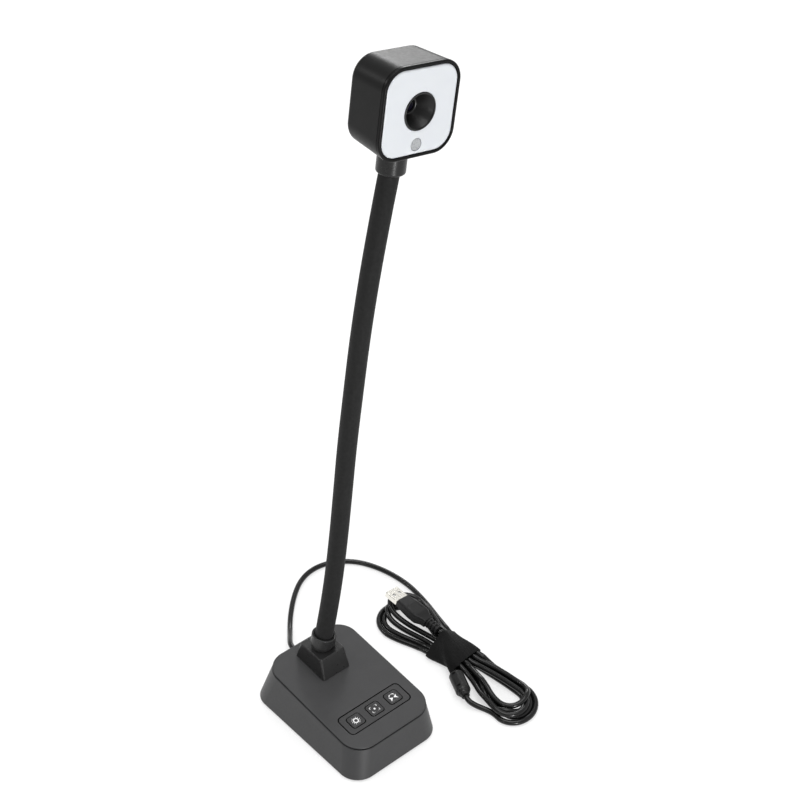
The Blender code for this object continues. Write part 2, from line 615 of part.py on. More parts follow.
def build_boss(finish):
    """The collar that joins the neck to the head's underside. Its top follows the tapered housing."""
    top = -HEAD_SIZE / 2
    foot = top - BOSS_LENGTH
    taper = (HEAD_SIZE - HEAD_BACK_SIZE) / HEAD_DEPTH / 2

    def under_housing(point):
        back = HEAD_DEPTH / 2 - BOSS_SETBACK - point.y
        return Vector((point.x, point.y, -HEAD_BACK_SIZE / 2 - taper * back - GAP))

    profile = [
        (BOSS_RADIUS, foot + BOSS_ROUNDING),
        (BOSS_RADIUS - 0.3 * BOSS_ROUNDING, foot + 0.3 * BOSS_ROUNDING),
        (BOSS_RADIUS - 0.8 * BOSS_ROUNDING, foot),
        (BOSS_BORE, foot),
        (BOSS_BORE, foot + BOSS_BORE_DEPTH),
    ]
    rings = [flat(circle(radius, 24), height) for radius, height in profile]
    rings.insert(0, [under_housing(point) for point in rings[0]])
    skin("neck_collar_upper", rings, finish, place=head_frame() @ Matrix.Translation((0, BOSS_SETBACK, 0)))


def cord_exit_frame(y):
    """A frame on the cord's exit axis with Z pointing out of the base's back."""
    return Matrix.Translation((CORD_EXIT[0], y, CORD_EXIT[2])) @ Matrix.Rotation(-math.pi / 2, 4, "X")


def build_strain_relief(finish):
    """A ribbed, tapered sleeve clipped in the hole of the skirt's leaning back wall."""
    wall, lean = back_wall()
    inner = -SKIRT_WALL - 2 * GAP

    def leaning(radius, along):
        return [Vector((x, y, along + lean * y)) for x, y in circle(radius, 14)]

    rings = [
        leaning(RELIEF_FLANGE, inner - FLANGE_WIDTH),
        leaning(RELIEF_FLANGE, inner),
        leaning(RELIEF_GROOVE, inner),
        leaning(RELIEF_GROOVE, GAP),
        leaning(RELIEF_SHOULDER, GAP),
    ]
    profile = [(RELIEF_SHOULDER, SHOULDER_WIDTH)]
    length = CORD_EXIT[1] - GAP - wall
    pitch = (length - SHOULDER_WIDTH - RIB_HEIGHT) / RELIEF_RIBS
    for i in range(RELIEF_RIBS):
        radius = RELIEF_RADIUS - RELIEF_TAPER * i
        low = SHOULDER_WIDTH + (i + 0.2) * pitch
        profile += [(radius, low), (radius, low + 0.5 * pitch)]
        profile += [(radius - RIB_HEIGHT, low + 0.6 * pitch), (radius - RIB_HEIGHT, low + 0.9 * pitch)]
    profile += [(RELIEF_TIP, length)]
    rings += [flat(circle(radius, 14), along) for radius, along in profile]
    skin("cord_strain_relief", rings, finish, place=cord_exit_frame(wall))


def smooth(points, spacing):
    """Points about spacing apart on a smooth curve through the given ones."""
    knots = [Vector(p) for p in points]
    knots = [knots[0] * 2 - knots[1]] + knots + [knots[-1] * 2 - knots[-2]]
    curve = []
    for a, b, c, d in zip(knots, knots[1:], knots[2:], knots[3:]):
        steps = max(1, round((c - b).length / spacing))
        for step in range(steps):
            t = step / steps
            curve.append(0.5 * (2 * b + (c - a) * t + (2 * a - 5 * b + 4 * c - d) * t**2
                                + (3 * b - a - 3 * c + d) * t**3))
    return curve + [knots[-2]]


def build_cord(finish):
    data = bpy.data.curves.new("cord_tube", "CURVE")
    data.dimensions = "3D"
    data.bevel_depth = CORD_RADIUS
    data.bevel_resolution = 2
    data.use_fill_caps = True
    points = smooth(CORD_ROUTE, CORD_SPACING)
    spline = data.splines.new("POLY")
    spline.points.add(len(points) - 1)
    for knot, point in zip(spline.points, points):
        knot.co = (*point, 1.0)
    data.materials.append(finish)
    bpy.context.collection.objects.link(bpy.data.objects.new("cord_tube", data))


def hank_ring(y, low_x, high_x, low_z, high_z, grow=0.0, share=0.42):
    """A rounded section of the hank in the plane at y."""
    width, height = high_x - low_x + 2 * grow, high_z - low_z + 2 * grow
    centre = Vector(((low_x + high_x) / 2, y, (low_z + high_z) / 2))
    outline = rounded_rect(width, height, share * min(width, height), 3)
    return [centre + Vector((x, 0, z)) for x, z in outline]


def build_hank(cord_finish, tie_finish):
    skin("cord_hank", [hank_ring(*section) for section in HANK_SECTIONS], cord_finish)
    back, front = TIE_SPAN
    waist = next(section[1:] for section in HANK_SECTIONS if section[0] < back + CORD_RADIUS / 2)
    inner, outer = GAP, GAP + TIE_THICKNESS
    rings = [hank_ring(back, *waist, inner), hank_ring(back, *waist, outer)]
    rings += [hank_ring(front, *waist, outer), hank_ring(front, *waist, inner)]
    skin("cable_tie", rings, tie_finish, loop=True)


def build_ferrite(finish):
    half, r, soft = FERRITE_LENGTH / 2, FERRITE_RADIUS, FERRITE_ROUNDING
    profile = [(0, -half), (r - soft, -half), (r - 0.3 * soft, -half + 0.3 * soft), (r, -half + soft)]
    profile += [(radius, -height) for radius, height in reversed(profile)]
    axis = (math.cos(FERRITE_HEADING), math.sin(FERRITE_HEADING), 0)
    turned("ferrite_bead", profile, finish, 16, place=frame_at(FERRITE_CENTRE, axis))


def plug_frame():
    """The plug's frame at the root of its metal shell, with Z towards its tip and X across its width."""
    lying = PLUG_TURN.to_matrix().to_4x4() @ Matrix.Rotation(-math.pi / 2, 4, "X")
    return Matrix.Translation(PLUG_ROOT) @ lying


def build_plug(mould_finish, metal, tongue_finish):
    width, height, length = PLUG_SIZE
    thick, thin, tail = PLUG_RELIEF

    def section(w, h, corner, along):
        return flat(rounded_rect(w, h, corner, 3), along)

    def round_section(radius, along):
        return section(2 * radius, 2 * radius, 0.98 * radius, along)

    rings = [round_section(thin, -length - tail)]
    pitch = tail / (RELIEF_RIBS - 1)
    for i in range(RELIEF_RIBS - 1):
        radius = thin + (thick - thin) * (i + 1) / (RELIEF_RIBS - 1)
        low = -length - tail + (i + 0.25) * pitch
        for rise, share in ((0, 0.0), (RIB_HEIGHT, 0.1), (RIB_HEIGHT, 0.45), (0, 0.55)):
            rings.append(round_section(radius - RIB_HEIGHT + rise, low + share * pitch))
    neck_width, neck_height, spread = PLUG_SHOULDER
    soft = PLUG_ROUNDING
    rings += [
        section(neck_width, neck_height, PLUG_CORNER, -length),
        section(0.8 * width, height - soft, PLUG_CORNER, -length + spread / 2),
        section(width, height, PLUG_CORNER, -length + spread),
        section(width, height, PLUG_CORNER, -soft),
        section(width - 2 * soft, height - 2 * soft, PLUG_CORNER - soft, 0.0),
    ]
    skin("usb_plug_overmould", rings, mould_finish, place=plug_frame())
    wide, tall, reach, wall = USB_SHELL
    deep = GAP + 2 * wall
    inner = (wide - 2 * wall, tall - 2 * wall, wall / 2)
    rings = [section(wide, tall, wall, GAP), section(wide, tall, wall, reach)]
    rings += [section(*inner, reach), section(*inner, deep)]
    skin("usb_plug_shell", rings, metal, place=plug_frame())
    across, thickness, along = USB_TONGUE
    rings = [section(across, thickness, wall / 2, at) for at in (deep + GAP, deep + GAP + along)]
    lowered = plug_frame() @ Matrix.Translation((0, -TONGUE_DROP, 0))
    skin("usb_plug_tongue", rings, tongue_finish, place=lowered)


def build_base():
    grey = material("base_plastic", (0.085, 0.085, 0.088), 0.55)
    dark = material("pedestal_plastic", (0.028, 0.028, 0.030), 0.38)
    key_plastic = material("key_plastic", (0.045, 0.045, 0.048), 0.45)
    steel = material("steel", (0.55, 0.56, 0.58), 0.35, 1.0)
    rubber = material("rubber", (0.020, 0.020, 0.021), 0.85)
    board = material("circuit_board", (0.02, 0.16, 0.07), 0.5)
    build_skirt(grey)
    build_lid(grey)
    build_underside(material("plate_plastic", (0.03, 0.03, 0.032), 0.6), rubber, steel)
    build_surround(grey)
    for name, x in key_centres():
        build_key(name, x, key_plastic)
    build_switches(material("switch_plastic", (0.02, 0.02, 0.02), 0.4), board)
    build_pedestal(dark)
    build_lower_collar(dark)
    build_strain_relief(rubber)


def build_head():
    black = material("head_plastic", (0.022, 0.022, 0.024), 0.42)
    build_boss(black)
    build_housing(black)
    white = material("diffuser", (0.82, 0.84, 0.88), 0.35)
    window = material("sensor_window", (0.55, 0.56, 0.58), 0.3)
    build_front(material("frame_plastic", (0.012, 0.012, 0.013), 0.3), white, window)
    board = material("white_board", (0.75, 0.76, 0.74), 0.5)
    glass = material("lens_glass", (0.01, 0.012, 0.02), 0.05)
    build_optics(material("lens_plastic", (0.010, 0.010, 0.011), 0.3), glass, board)


def build_lead():
    black = material("cord_jacket", (0.014, 0.014, 0.015), 0.38)
    build_cord(black)
    build_hank(black, material("hook_and_loop", (0.008, 0.008, 0.008), 0.95))
    build_ferrite(material("ferrite_cover", (0.016, 0.016, 0.017), 0.4))
    nickel = material("nickel", (0.75, 0.73, 0.68), 0.25, 1.0)
    tongue = material("contact_plastic", (0.80, 0.80, 0.78), 0.5)
    build_plug(material("plug_mould", (0.020, 0.020, 0.022), 0.45), nickel, tongue)


def build_document_camera():
    clear_scene()
    build_base()
    core = material("neck_core", (0.40, 0.41, 0.43), 0.4, 1.0)
    build_neck(material("neck_sleeve", (0.013, 0.013, 0.014), 0.7), core)
    build_head()
    build_lead()


build_document_camera()
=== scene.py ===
"""Looks of the document camera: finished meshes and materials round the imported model.

Metres, +Z up. The front faces -Y. Sizes that scene.py shares with the model are repeated below.
"""

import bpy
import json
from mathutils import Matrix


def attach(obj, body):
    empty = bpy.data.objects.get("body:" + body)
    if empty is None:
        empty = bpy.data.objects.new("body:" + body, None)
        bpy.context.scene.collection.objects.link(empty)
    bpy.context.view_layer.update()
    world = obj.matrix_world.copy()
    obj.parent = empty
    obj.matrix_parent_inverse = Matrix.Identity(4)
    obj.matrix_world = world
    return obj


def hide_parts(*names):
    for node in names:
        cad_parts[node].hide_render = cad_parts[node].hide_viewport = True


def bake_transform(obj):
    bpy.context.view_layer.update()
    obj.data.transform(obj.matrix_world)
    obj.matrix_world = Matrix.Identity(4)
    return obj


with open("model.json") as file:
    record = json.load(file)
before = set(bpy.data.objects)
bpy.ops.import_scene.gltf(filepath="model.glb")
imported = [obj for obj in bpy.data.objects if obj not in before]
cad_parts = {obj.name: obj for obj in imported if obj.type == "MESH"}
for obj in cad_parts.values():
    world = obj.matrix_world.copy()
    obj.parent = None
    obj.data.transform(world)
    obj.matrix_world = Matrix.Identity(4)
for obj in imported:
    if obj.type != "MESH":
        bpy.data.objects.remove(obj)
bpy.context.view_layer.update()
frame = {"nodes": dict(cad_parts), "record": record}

import json
import math

import bmesh
import bpy
import numpy as np
from mathutils import Euler, Matrix, Vector, noise

GAP = 0.0003
MERGE = 1e-7  # points nearer than this are one
FINE_EDGE, SOFT_EDGE = 0.0002, 0.0003
TOOL_REACH = 0.002  # of a cutting tool past the surface it cuts

# Base
BASE_WIDTH, BASE_DEPTH, BASE_CORNER, BASE_SHIFT = 0.0781, 0.1150, 0.0150, (-0.0009, 0.0023)
DECK_WIDTH, DECK_DEPTH, DECK_CORNER, DECK_SHIFT = 0.0704, 0.1016, 0.0155, (0.0006, -0.0002)
DECK_HEIGHT, DECK_SLOPE = 0.0291, math.radians(5.15)
SKIRT_FOOT, SKIRT_WALL, SKIRT_LEAN = 0.0008, 0.0022, 0.0003
FOOT_FILLET, TOP_FILLET, LEDGE_SHARE = 0.0010, 0.0005, 0.8
SEAM_DEPTH = 0.0021  # of the skirt's rim under the deck
LID_THICKNESS, LID_LIP, LID_ROUNDING = 0.0026, 0.0013, 0.0008
KEY_NAMES = ("light", "focus", "mirror")
KEY_PITCH, KEY_ROW = 0.0165, -0.0279
KEY_SIZE = (0.0104, 0.0096, 0.0019)
KEY_PROUD, KEY_ROUNDING, KEY_RIM, KEY_SLOPE, KEY_DISH = 0.0003, 0.0003, 0.0009, 0.0016, 0.0003
KEY_DEPTH = 0.0016
SURROUND = (0.0527, 0.0165, 0.0031)
SURROUND_THICKNESS, SURROUND_ROUNDING = 0.0016, 0.0002
SEAM_WIDTH, KEY_SEAM_WIDTH = 2.5 * GAP, 1.6 * GAP
PRINT_THICKNESS = 0.00005
SUN_RING, SUN_RAYS, SUN_RAY_START = (0.00205, 0.00130), (0.00345, 0.00310), 0.00245
SUN_RAY_COUNT, SUN_RAY_WIDTH = 12, 0.00036
FOCUS_DOT, FOCUS_REACH, FOCUS_ARM, FOCUS_WIDTH = 0.00075, 0.0030, 0.00180, 0.00040
MIRROR_ARROW = [(0.00025, -0.0006), (0.0031, 0.0011), (0.0024, -0.0006), (0.0031, -0.0027)]
MIRROR_ARC, MIRROR_ARC_HEIGHT, MIRROR_ARC_ENDS = (0.00255, 0.00195), 0.0006, (20, 160)
PEDESTAL_PLACE, PEDESTAL_TOP = (0.0, 0.0274), 0.0464
PEDESTAL_FOOT_SIZE = (0.0238, 0.0314, 0.0018)
PEDESTAL_TOP_SIZE = (0.0212, 0.0232, 0.0016)
PEDESTAL_ROUNDING = 0.0006
COLLAR_EDGE, COLLAR_BORE_EDGE, RELIEF_EDGE = 0.0007, 0.0004, 0.0006
RELIEF_FLANGE, RELIEF_GROOVE, RELIEF_SHOULDER = 0.0056, 0.0040, 0.0050
FLANGE_WIDTH, SHOULDER_WIDTH = 0.0014, 0.0030
RELIEF_RIBS, RELIEF_RADIUS, RELIEF_TAPER, RIB_HEIGHT, RELIEF_TIP = 4, 0.0038, 0.0002, 0.0006, 0.0026

# Neck
NECK_RADIUS, NECK_FOOT = 0.0064, 0.0042
NECK_FIRST, NECK_LINK, NECK_LAST = 0.0504, 0.0398, 0.0396
NECK_HEADING = math.radians(-19.6)
NECK_LEANS = [math.radians(a) for a in (10.0, 7.3, 5.9, 5.6, 7.1, 7.3, 8.9, 10.4, 11.3)]
NECK_STEPS = 28
COLLAR_RADIUS, COLLAR_HEIGHT, COLLAR_BORE, COLLAR_NECK, COLLAR_STEP = 0.0087, 0.0105, 0.0068, 0.0076, 0.0026

# Head
HEAD_CENTRE = (0.0548, 0.0062, 0.4482)
HEAD_TURN = Euler((math.radians(0.9), math.radians(7.5), math.radians(-1.5)), "XYZ")
HEAD_SIZE, HEAD_BACK_SIZE, HEAD_DEPTH, HEAD_CORNER = 0.0556, 0.0526, 0.0320, 0.0136
HEAD_FILLET, HEAD_WALL = 0.0035, 0.0020
FRAME_DEPTH, FRAME_ROUNDING = 0.0024, 0.0010
PANEL_SIZE, PANEL_CORNER, PANEL_THICKNESS, PANEL_SINK, PANEL_DOME = 0.0509, 0.0111, 0.0016, 0.0002, 0.0014
HOOD_RADIUS, HOOD_THROAT, HOOD_DEPTH, HOOD_RIDGES = 0.0112, 0.0046, 0.0098, 15
HOOD_RIM, HOOD_EDGE, HOOD_FLOOR, HOOD_LEDGE = 0.0009, 0.0003, 0.0012, 0.0005
RIDGE_SHAPE = ((0.0, 0.0), (0.15, 0.62), (0.75, 0.84))  # (across, along) in shares of a ridge
BARREL_RADIUS, BARREL_LENGTH, BARREL_NOSE = 0.0043, 0.0100, 0.0004
GLASS_SEAT, GLASS_RIM, GLASS_DEPTH, GLASS_CROWN = 0.0012, 0.0010, 0.0009, 0.0005
WINDOW_RADIUS, WINDOW_DROP = 0.0036, 0.0197
WINDOW_DISH = ((0.0020, 0.00002), (0.0016, 0.00008), (0, 0.0001))  # (radius, depth)
BOSS_RADIUS, BOSS_LENGTH, BOSS_BORE, BOSS_SETBACK = 0.0090, 0.0160, 0.0072, 0.0028
BOSS_BORE_DEPTH, BOSS_ROUNDING = 0.0082, 0.0014

# Cord. The route runs from the strain relief to the hank.
CORD_RADIUS = 0.0020
CORD_EXIT = (0.0045, 0.0668, 0.0100)
CORD_ROUTE = [
    CORD_EXIT,
    (0.0046, 0.0694, 0.0100),
    (0.0057, 0.0727, 0.0094),
    (0.0082, 0.0768, 0.0080),
    (0.0116, 0.0814, 0.0060),
    (0.0152, 0.0861, 0.0041),
    (0.0190, 0.0911, 0.0027),
    (0.0232, 0.0964, 0.0021),
    (0.0286, 0.1027, 0.0020),
    (0.0377, 0.1121, 0.0020),
    (0.0475, 0.1207, 0.0020),
    (0.0570, 0.1272, 0.0020),
    (0.0672, 0.1313, 0.0020),
    (0.0785, 0.1321, 0.0020),
    (0.0895, 0.1290, 0.0020),
    (0.0990, 0.1227, 0.0020),
    (0.1068, 0.1135, 0.0020),
    (0.1127, 0.1007, 0.0020),
    (0.1163, 0.0860, 0.0020),
    (0.1175, 0.0705, 0.0020),
    (0.1160, 0.0555, 0.0022),
    (0.1132, 0.0410, 0.0025),
    (0.1096, 0.0270, 0.0031),
    (0.1062, 0.0130, 0.0040),
]
# The hank's front loops, as wound: furthest right, furthest left, lowest y, height, and where the loop
# leaves the tie and comes back to it, (x, z) each
FRONT_LOOPS = [
    (0.1056, 0.0806, -0.0836, 0.0024, (0.1020, 0.0040), (0.0885, 0.0040)),
    (0.1026, 0.0784, -0.0795, 0.0050, (0.0970, 0.0040), (0.0925, 0.0040)),
    (0.1068, 0.0826, -0.0770, 0.0092, (0.1004, 0.0076), (0.0905, 0.0076)),
    (0.1016, 0.0770, -0.0822, 0.0080, (0.0955, 0.0076), (0.0862, 0.0076)),
    (0.1092, 0.0752, -0.0868, 0.0022, (0.1034, 0.0106), (0.0806, 0.0070)),
]
# The back loops between them: furthest left, furthest right, highest y, height, and the two ends at the tie
BACK_LOOPS = [
    (0.0705, 0.1070, 0.0605, 0.0022, (0.0800, 0.0040), (0.0996, 0.0040)),
    (0.0752, 0.1040, 0.0592, 0.0026, (0.0838, 0.0040), (0.0958, 0.0040)),
    (0.0818, 0.1068, 0.0610, 0.0062, (0.0878, 0.0040), (0.0976, 0.0076)),
    (0.0860, 0.1110, 0.0630, 0.0084, (0.0918, 0.0076), (0.1006, 0.0108)),
]
TIE_BACK, TIE_FRONT, TIE_THICKNESS = 0.0057, -0.0222, 0.0013
TIE_TURNS, TIE_START, TIE_SLANT, TIE_EDGE, TIE_FLOOR = 1.25, -35.0, 0.08, 0.0004, 0.0004
TIE_SIDES, TIE_SLICES, TIE_SMOOTHINGS, TIE_SLACK = 180, 26, 4, 0.0003
TIE_ROWS = np.linspace(TIE_BACK, TIE_FRONT, TIE_SLICES)
CORD_NEAR, RELIEF_NEAR, RELIEF_UNDER = 0.0035, 0.004, 0.008  # what of the cord and the plug each row spans
TIE_LAP, TIE_RISE = (0.94, 0.10), 1.05 * TIE_THICKNESS  # where the strap climbs its own start, in turns
# How the turns settle: push, bending, pull home, sinking and longest move each round, and the room in the tie
SETTLE_ROUNDS, PUSH, BENDING, HOMING, SINKING, LONGEST_MOVE = 160, 0.35, 0.45, 0.03, 0.00003, 0.0008
TIE_ROOM = ((0.0782, 0.1046), (0.0038, 0.0112))
CORD_STEP, PLUG_STRETCH, TAIL_POINT = 0.0025, 0.0075, (0.0850, -0.0120, 0.0098)
HANK_SKEW, BOW_HALF, LEG_SHARES, LEG_DROP = 0.6, 0.011, (0.0, 0.12, 0.28, 0.46, 0.66, 0.86), 0.4
FERRITE_RUN, PLUG_RUN, FERRITE_HOLD = 0.001, 0.006, (0.004, 0.002)  # straight runs, and the stretch held
FERRITE_CENTRE, FERRITE_HEADING = (0.0742, -0.0352, 0.0056), math.radians(-114.0)
FERRITE_RADIUS, FERRITE_LENGTH, FERRITE_NOTCH = 0.0055, 0.0235, 60.0
FERRITE_ENDS, FERRITE_NECK, FERRITE_SHOULDERS = (0.0031, 0.0032), 0.0012, (0.0024, 0.0040, 0.0046)
FERRITE_EDGE, FERRITE_TIP, CLIP_PLACES = 0.0009, (0.0016, 0.0014), (-0.0044, 0.0074)
CLIP_SIZE, SPLIT_SIZE, SPLIT_SHIFT = (0.0017, 0.0026, 0.0017), (0.0220, 0.00025, 0.0150), (0.01584, 0, 0.0012)
PLUG_ROOT = (0.0926, 0.0488, 0.0164)
PLUG_TURN = Euler((math.radians(6.0), math.radians(8.0), math.radians(3.6)), "XYZ")
PLUG_SIZE, PLUG_SHOULDER = (0.0155, 0.0080, 0.0280), (0.0090, 0.0066, 0.0090)
PLUG_RELIEF, PLUG_RIBS, PLUG_RIB_HEIGHT, PLUG_SLIMMING = (0.0040, 0.0035, 0.0115), 4, 0.0011, 0.93
RIB_SHAPE = ((0.8, 0.0), (0.1, 0.08), (0.0, 0.16), (0.0, 0.48), (0.1, 0.56), (0.8, 0.64))  # (inset, along)
SHOULDER_SHAPE = ((0.35, 0.10), (0.62, 0.55), (0.86, 0.95), (1.0, 1.0))  # (along, grown), in shares
PLUG_CORNERS, PLUG_EDGES = (0.0012, 0.0016), (0.0005, 0.0007)
PLUG_WAIST, PLUG_TAPER = 0.0130, (0.0024, 0.0010)
GRIP_SIZE, GRIP_LIFT = (0.0092, 0.0010, 0.0080), 0.0003
USB_SHELL, USB_TONGUE, TONGUE_DROP = (0.0120, 0.0045, 0.0120, 0.0004), (0.0100, 0.0016, 0.0090), 0.0007
SHELL_WINDOW, SHELL_WINDOW_PLACES, SHELL_WINDOW_REACH = (0.0022, 0.02, 0.0024), (0.0028, -0.0028), 0.0062
CONTACT_SIZE, CONTACT_PLACES = (0.0010, 0.0002, 0.0072), (-0.0035, -0.0010, 0.0010, 0.0035)
SHELL_CORNER, TONGUE_TIP = 0.0007, (0.97, 0.7)

# Camera
CAMERA_PLACE, CAMERA_AZIMUTH, CAMERA_ELEVATION, LENS_MM = (-0.4866, -0.6123, 0.8375), -41.12, 35.91, 72.0

# Floor and light
FLOOR_REACH, LIGHT_AIM = 6.0, Vector((0.03, 0.0, 0.15))
ROOM = (("From Min", -1.0), ("From Max", 0.4), ("To Min", 0.42), ("To Max", 0.72))
LIGHTS = {  # place, size and watts
    "back_box": ((1.3, 1.45, 1.05), (0.5, 0.5), 7),
    "over_box": ((0.0, 0.0, 2.2), (1.6, 1.6), 27),
    "front_box": ((-0.35, -1.15, 0.18), (0.12, 0.34), 8),
    "left_box": ((-1.25, -0.22, 0.50), (0.10, 0.16), 0.8),
    "rear_box": ((-0.95, 1.25, 1.25), (0.20, 0.20), 3.5),
}


# --- Meshes ---


def rounded_rect(width, depth, corner, steps=14):
    """Points of a rectangle with round corners, anticlockwise, as (x, y)."""
    points = []
    for quarter, (sx, sy) in enumerate(((1, 1), (-1, 1), (-1, -1), (1, -1))):
        x, y = sx * (width / 2 - corner), sy * (depth / 2 - corner)
        for step in range(steps + 1):
            angle = math.pi / 2 * (quarter + step / steps)
            points.append((x + corner * math.cos(angle), y + corner * math.sin(angle)))
    return points


def circle(radius, sides=64, centre=(0.0, 0.0)):
    turns = [2 * math.pi * i / sides for i in range(sides)]
    return [(centre[0] + radius * math.cos(a), centre[1] + radius * math.sin(a)) for a in turns]


def flat(outline, height):
    return [Vector((x, y, height)) for x, y in outline]


def put(name, data):
    """A new object of some data, in the scene."""
    obj = bpy.data.objects.new(name, data)
    bpy.context.scene.collection.objects.link(obj)
    return obj


def shade(data, sharp=35.0):
    """Smooth shading but for edges sharper than an angle in degrees."""
    data.shade_smooth()
    data.set_sharp_from_angle(angle=math.radians(sharp))


def new_object(name, mesh, place=Matrix.Identity(4), sharp=35.0):
    """An object of a bmesh, which is used up."""
    bmesh.ops.recalc_face_normals(mesh, faces=mesh.faces)
    mesh.transform(place)
    data = bpy.data.meshes.new(name)
    mesh.to_mesh(data)
    mesh.free()
    shade(data, sharp)
    return put(name, data)


def finished(obj):
    """The bmesh of an object as its modifiers or its bevel make it."""
    mesh = bmesh.new()
    mesh.from_mesh(obj.evaluated_get(bpy.context.evaluated_depsgraph_get()).to_mesh())
    bmesh.ops.remove_doubles(mesh, verts=mesh.verts, dist=MERGE)
    return mesh


def skin(name, rings, loop=False, place=Matrix.Identity(4), sharp=35.0):
    """A closed solid through rings of points. A ring of one point is a tip. With loop, the last ring joins
    the first; without it, the end rings are filled."""
    mesh = bmesh.new()
    loops = [[mesh.verts.new(p) for p in ring] for ring in rings]
    pairs = list(zip(loops, loops[1:] + loops[:1]))
    for low, high in pairs if loop else pairs[:-1]:
        for i in range(max(len(low), len(high))):
            corners = [low[i % len(low)], low[(i + 1) % len(low)]]
            corners += [high[(i + 1) % len(high)], high[i % len(high)]]
            mesh.faces.new(list(dict.fromkeys(corners)))
    if not loop:
        for end in (loops[0], loops[-1]):
            if len(end) > 2:
                mesh.faces.new(end)
    return new_object(name, mesh, place, sharp)


def turned(name, profile, sides=64, loop=False, place=Matrix.Identity(4), sharp=35.0):
    """A solid of revolution about Z through (radius, height) points."""
    rings = [flat(circle(r, sides), h) if r > 0 else [Vector((0, 0, h))] for r, h in profile]
    return skin(name, rings, loop, place, sharp)


def rod(name, radius, low, high, place, sides=64):
    return turned(name, [(0, low), (radius, low), (radius, high), (0, high)], sides, place=place)


def arc(centre, radius, start, end, steps):
    """Points of an arc, as (across, along), from one angle in degrees to another."""
    turns = [math.radians(start + (end - start) * i / steps) for i in range(steps + 1)]
    return [(centre[0] + radius * math.cos(a), centre[1] + radius * math.sin(a)) for a in turns]


def plate(name, outlines, low, high, edge, place=Matrix.Identity(4), bend=3):
    """A flat plate with rounded edges. The outlines inside the first one are its holes."""
    data = bpy.data.curves.new(name, "CURVE")
    data.dimensions = "2D"
    data.fill_mode = "BOTH"
    data.extrude = (high - low) / 2 - edge
    data.bevel_depth = edge
    data.bevel_resolution = bend
    data.offset = -edge
    for outline in outlines:
        spline = data.splines.new("POLY")
        spline.points.add(len(outline) - 1)
        for knot, (x, y) in zip(spline.points, outline):
            knot.co = (x, y, 0, 1)
        spline.use_cyclic_u = True
    curve = put(name + "_outline", data)
    bpy.context.view_layer.update()
    mesh = finished(curve)
    bpy.data.objects.remove(curve)
    return new_object(name, mesh, place @ Matrix.Translation((0, 0, (low + high) / 2)))


def cut(obj, *tools):
    """Cuts the tools out of obj and removes them."""
    for tool in tools:
        change = obj.modifiers.new("cut", "BOOLEAN")
        change.operation = "DIFFERENCE"
        change.solver = "EXACT"
        change.object = tool
    bpy.context.view_layer.update()
    mesh = finished(obj)
    bmesh.ops.dissolve_degenerate(mesh, edges=mesh.edges, dist=MERGE)
    obj.modifiers.clear()
    mesh.to_mesh(obj.data)
    mesh.free()
    shade(obj.data)
    for tool in tools:
        bpy.data.objects.remove(tool)
    return obj


def block(name, size, place):
    """A box about the origin of place."""
    mesh = bmesh.new()
    bmesh.ops.create_cube(mesh, size=1.0, matrix=Matrix.Diagonal((*size, 1.0)))
    return new_object(name, mesh, place)


def frame_at(point, axis):
    """A frame with Z along axis and X as near to the world's X as it can be."""
    z = Vector(axis).normalized()
    x = (Vector((1, 0, 0)) - z * z.x).normalized()
    turn = Matrix((x, z.cross(x), z)).transposed()
    return Matrix.Translation(point) @ turn.to_4x4()


def shift(x=0.0, y=0.0, z=0.0):
    return Matrix.Translation((x, y, z))


def ease(share):
    """0 to 1 with a slow start and a slow end."""
    return share * share * (3 - 2 * share)


# --- Materials ---


class Look:
    """A Principled material whose nodes are added one by one."""

    def __init__(self, name):
        self.material = bpy.data.materials.new(name)
        self.material.use_nodes = True
        self.tree = self.material.node_tree
        self.shader = self.tree.nodes["Principled BSDF"]
        self.place = self.node("ShaderNodeTexCoord").outputs["Object"]

    def node(self, kind, **values):
        made = self.tree.nodes.new(kind)
        for key, value in values.items():
            setattr(made, key, value)
        return made

    def link(self, output, target):
        self.tree.links.new(output, target)

    def set(self, name, value):
        self.shader.inputs[name].default_value = value

    def noise(self, scale, detail=3.0, stretch=(1.0, 1.0, 1.0)):
        """Fine noise in metres: scale is how many lumps there are along a metre."""
        mapping = self.node("ShaderNodeMapping")
        mapping.inputs["Scale"].default_value = stretch
        self.link(self.place, mapping.inputs["Vector"])
        made = self.node("ShaderNodeTexNoise")
        made.inputs["Scale"].default_value = scale
        made.inputs["Detail"].default_value = detail
        self.link(mapping.outputs["Vector"], made.inputs["Vector"])
        return made.outputs["Fac"]

    def span(self, value, low, high, start=0.3, end=0.7):
        """A value from start to end mapped to low to high."""
        made = self.node("ShaderNodeMapRange")
        for key, number in (("From Min", start), ("From Max", end), ("To Min", low), ("To Max", high)):
            made.inputs[key].default_value = number
        self.link(value, made.inputs["Value"])
        return made.outputs["Result"]

    def mottle(self, scale, dark, light, detail=3.0):
        """The colour varies from dark to light in blotches."""
        mix = self.node("ShaderNodeMix", data_type="RGBA")
        mix.inputs["A"].default_value = (*dark, 1.0)
        mix.inputs["B"].default_value = (*light, 1.0)
        self.link(self.span(self.noise(scale, detail), 0.0, 1.0), mix.inputs["Factor"])
        self.link(mix.outputs["Result"], self.shader.inputs["Base Color"])

    def worn(self, scale, low, high):
        """The roughness varies from low to high."""
        self.link(self.span(self.noise(scale, 2.0), low, high), self.shader.inputs["Roughness"])

    def grain(self, scale, microns, strength, detail=2.0, stretch=(1.0, 1.0, 1.0)):
        """A bump of noise, so many microns deep."""
        made = self.node("ShaderNodeBump")
        made.inputs["Strength"].default_value = strength
        made.inputs["Distance"].default_value = microns * 1e-6
        self.link(self.noise(scale, detail, stretch), made.inputs["Height"])
        self.link(made.outputs["Normal"], self.shader.inputs["Normal"])


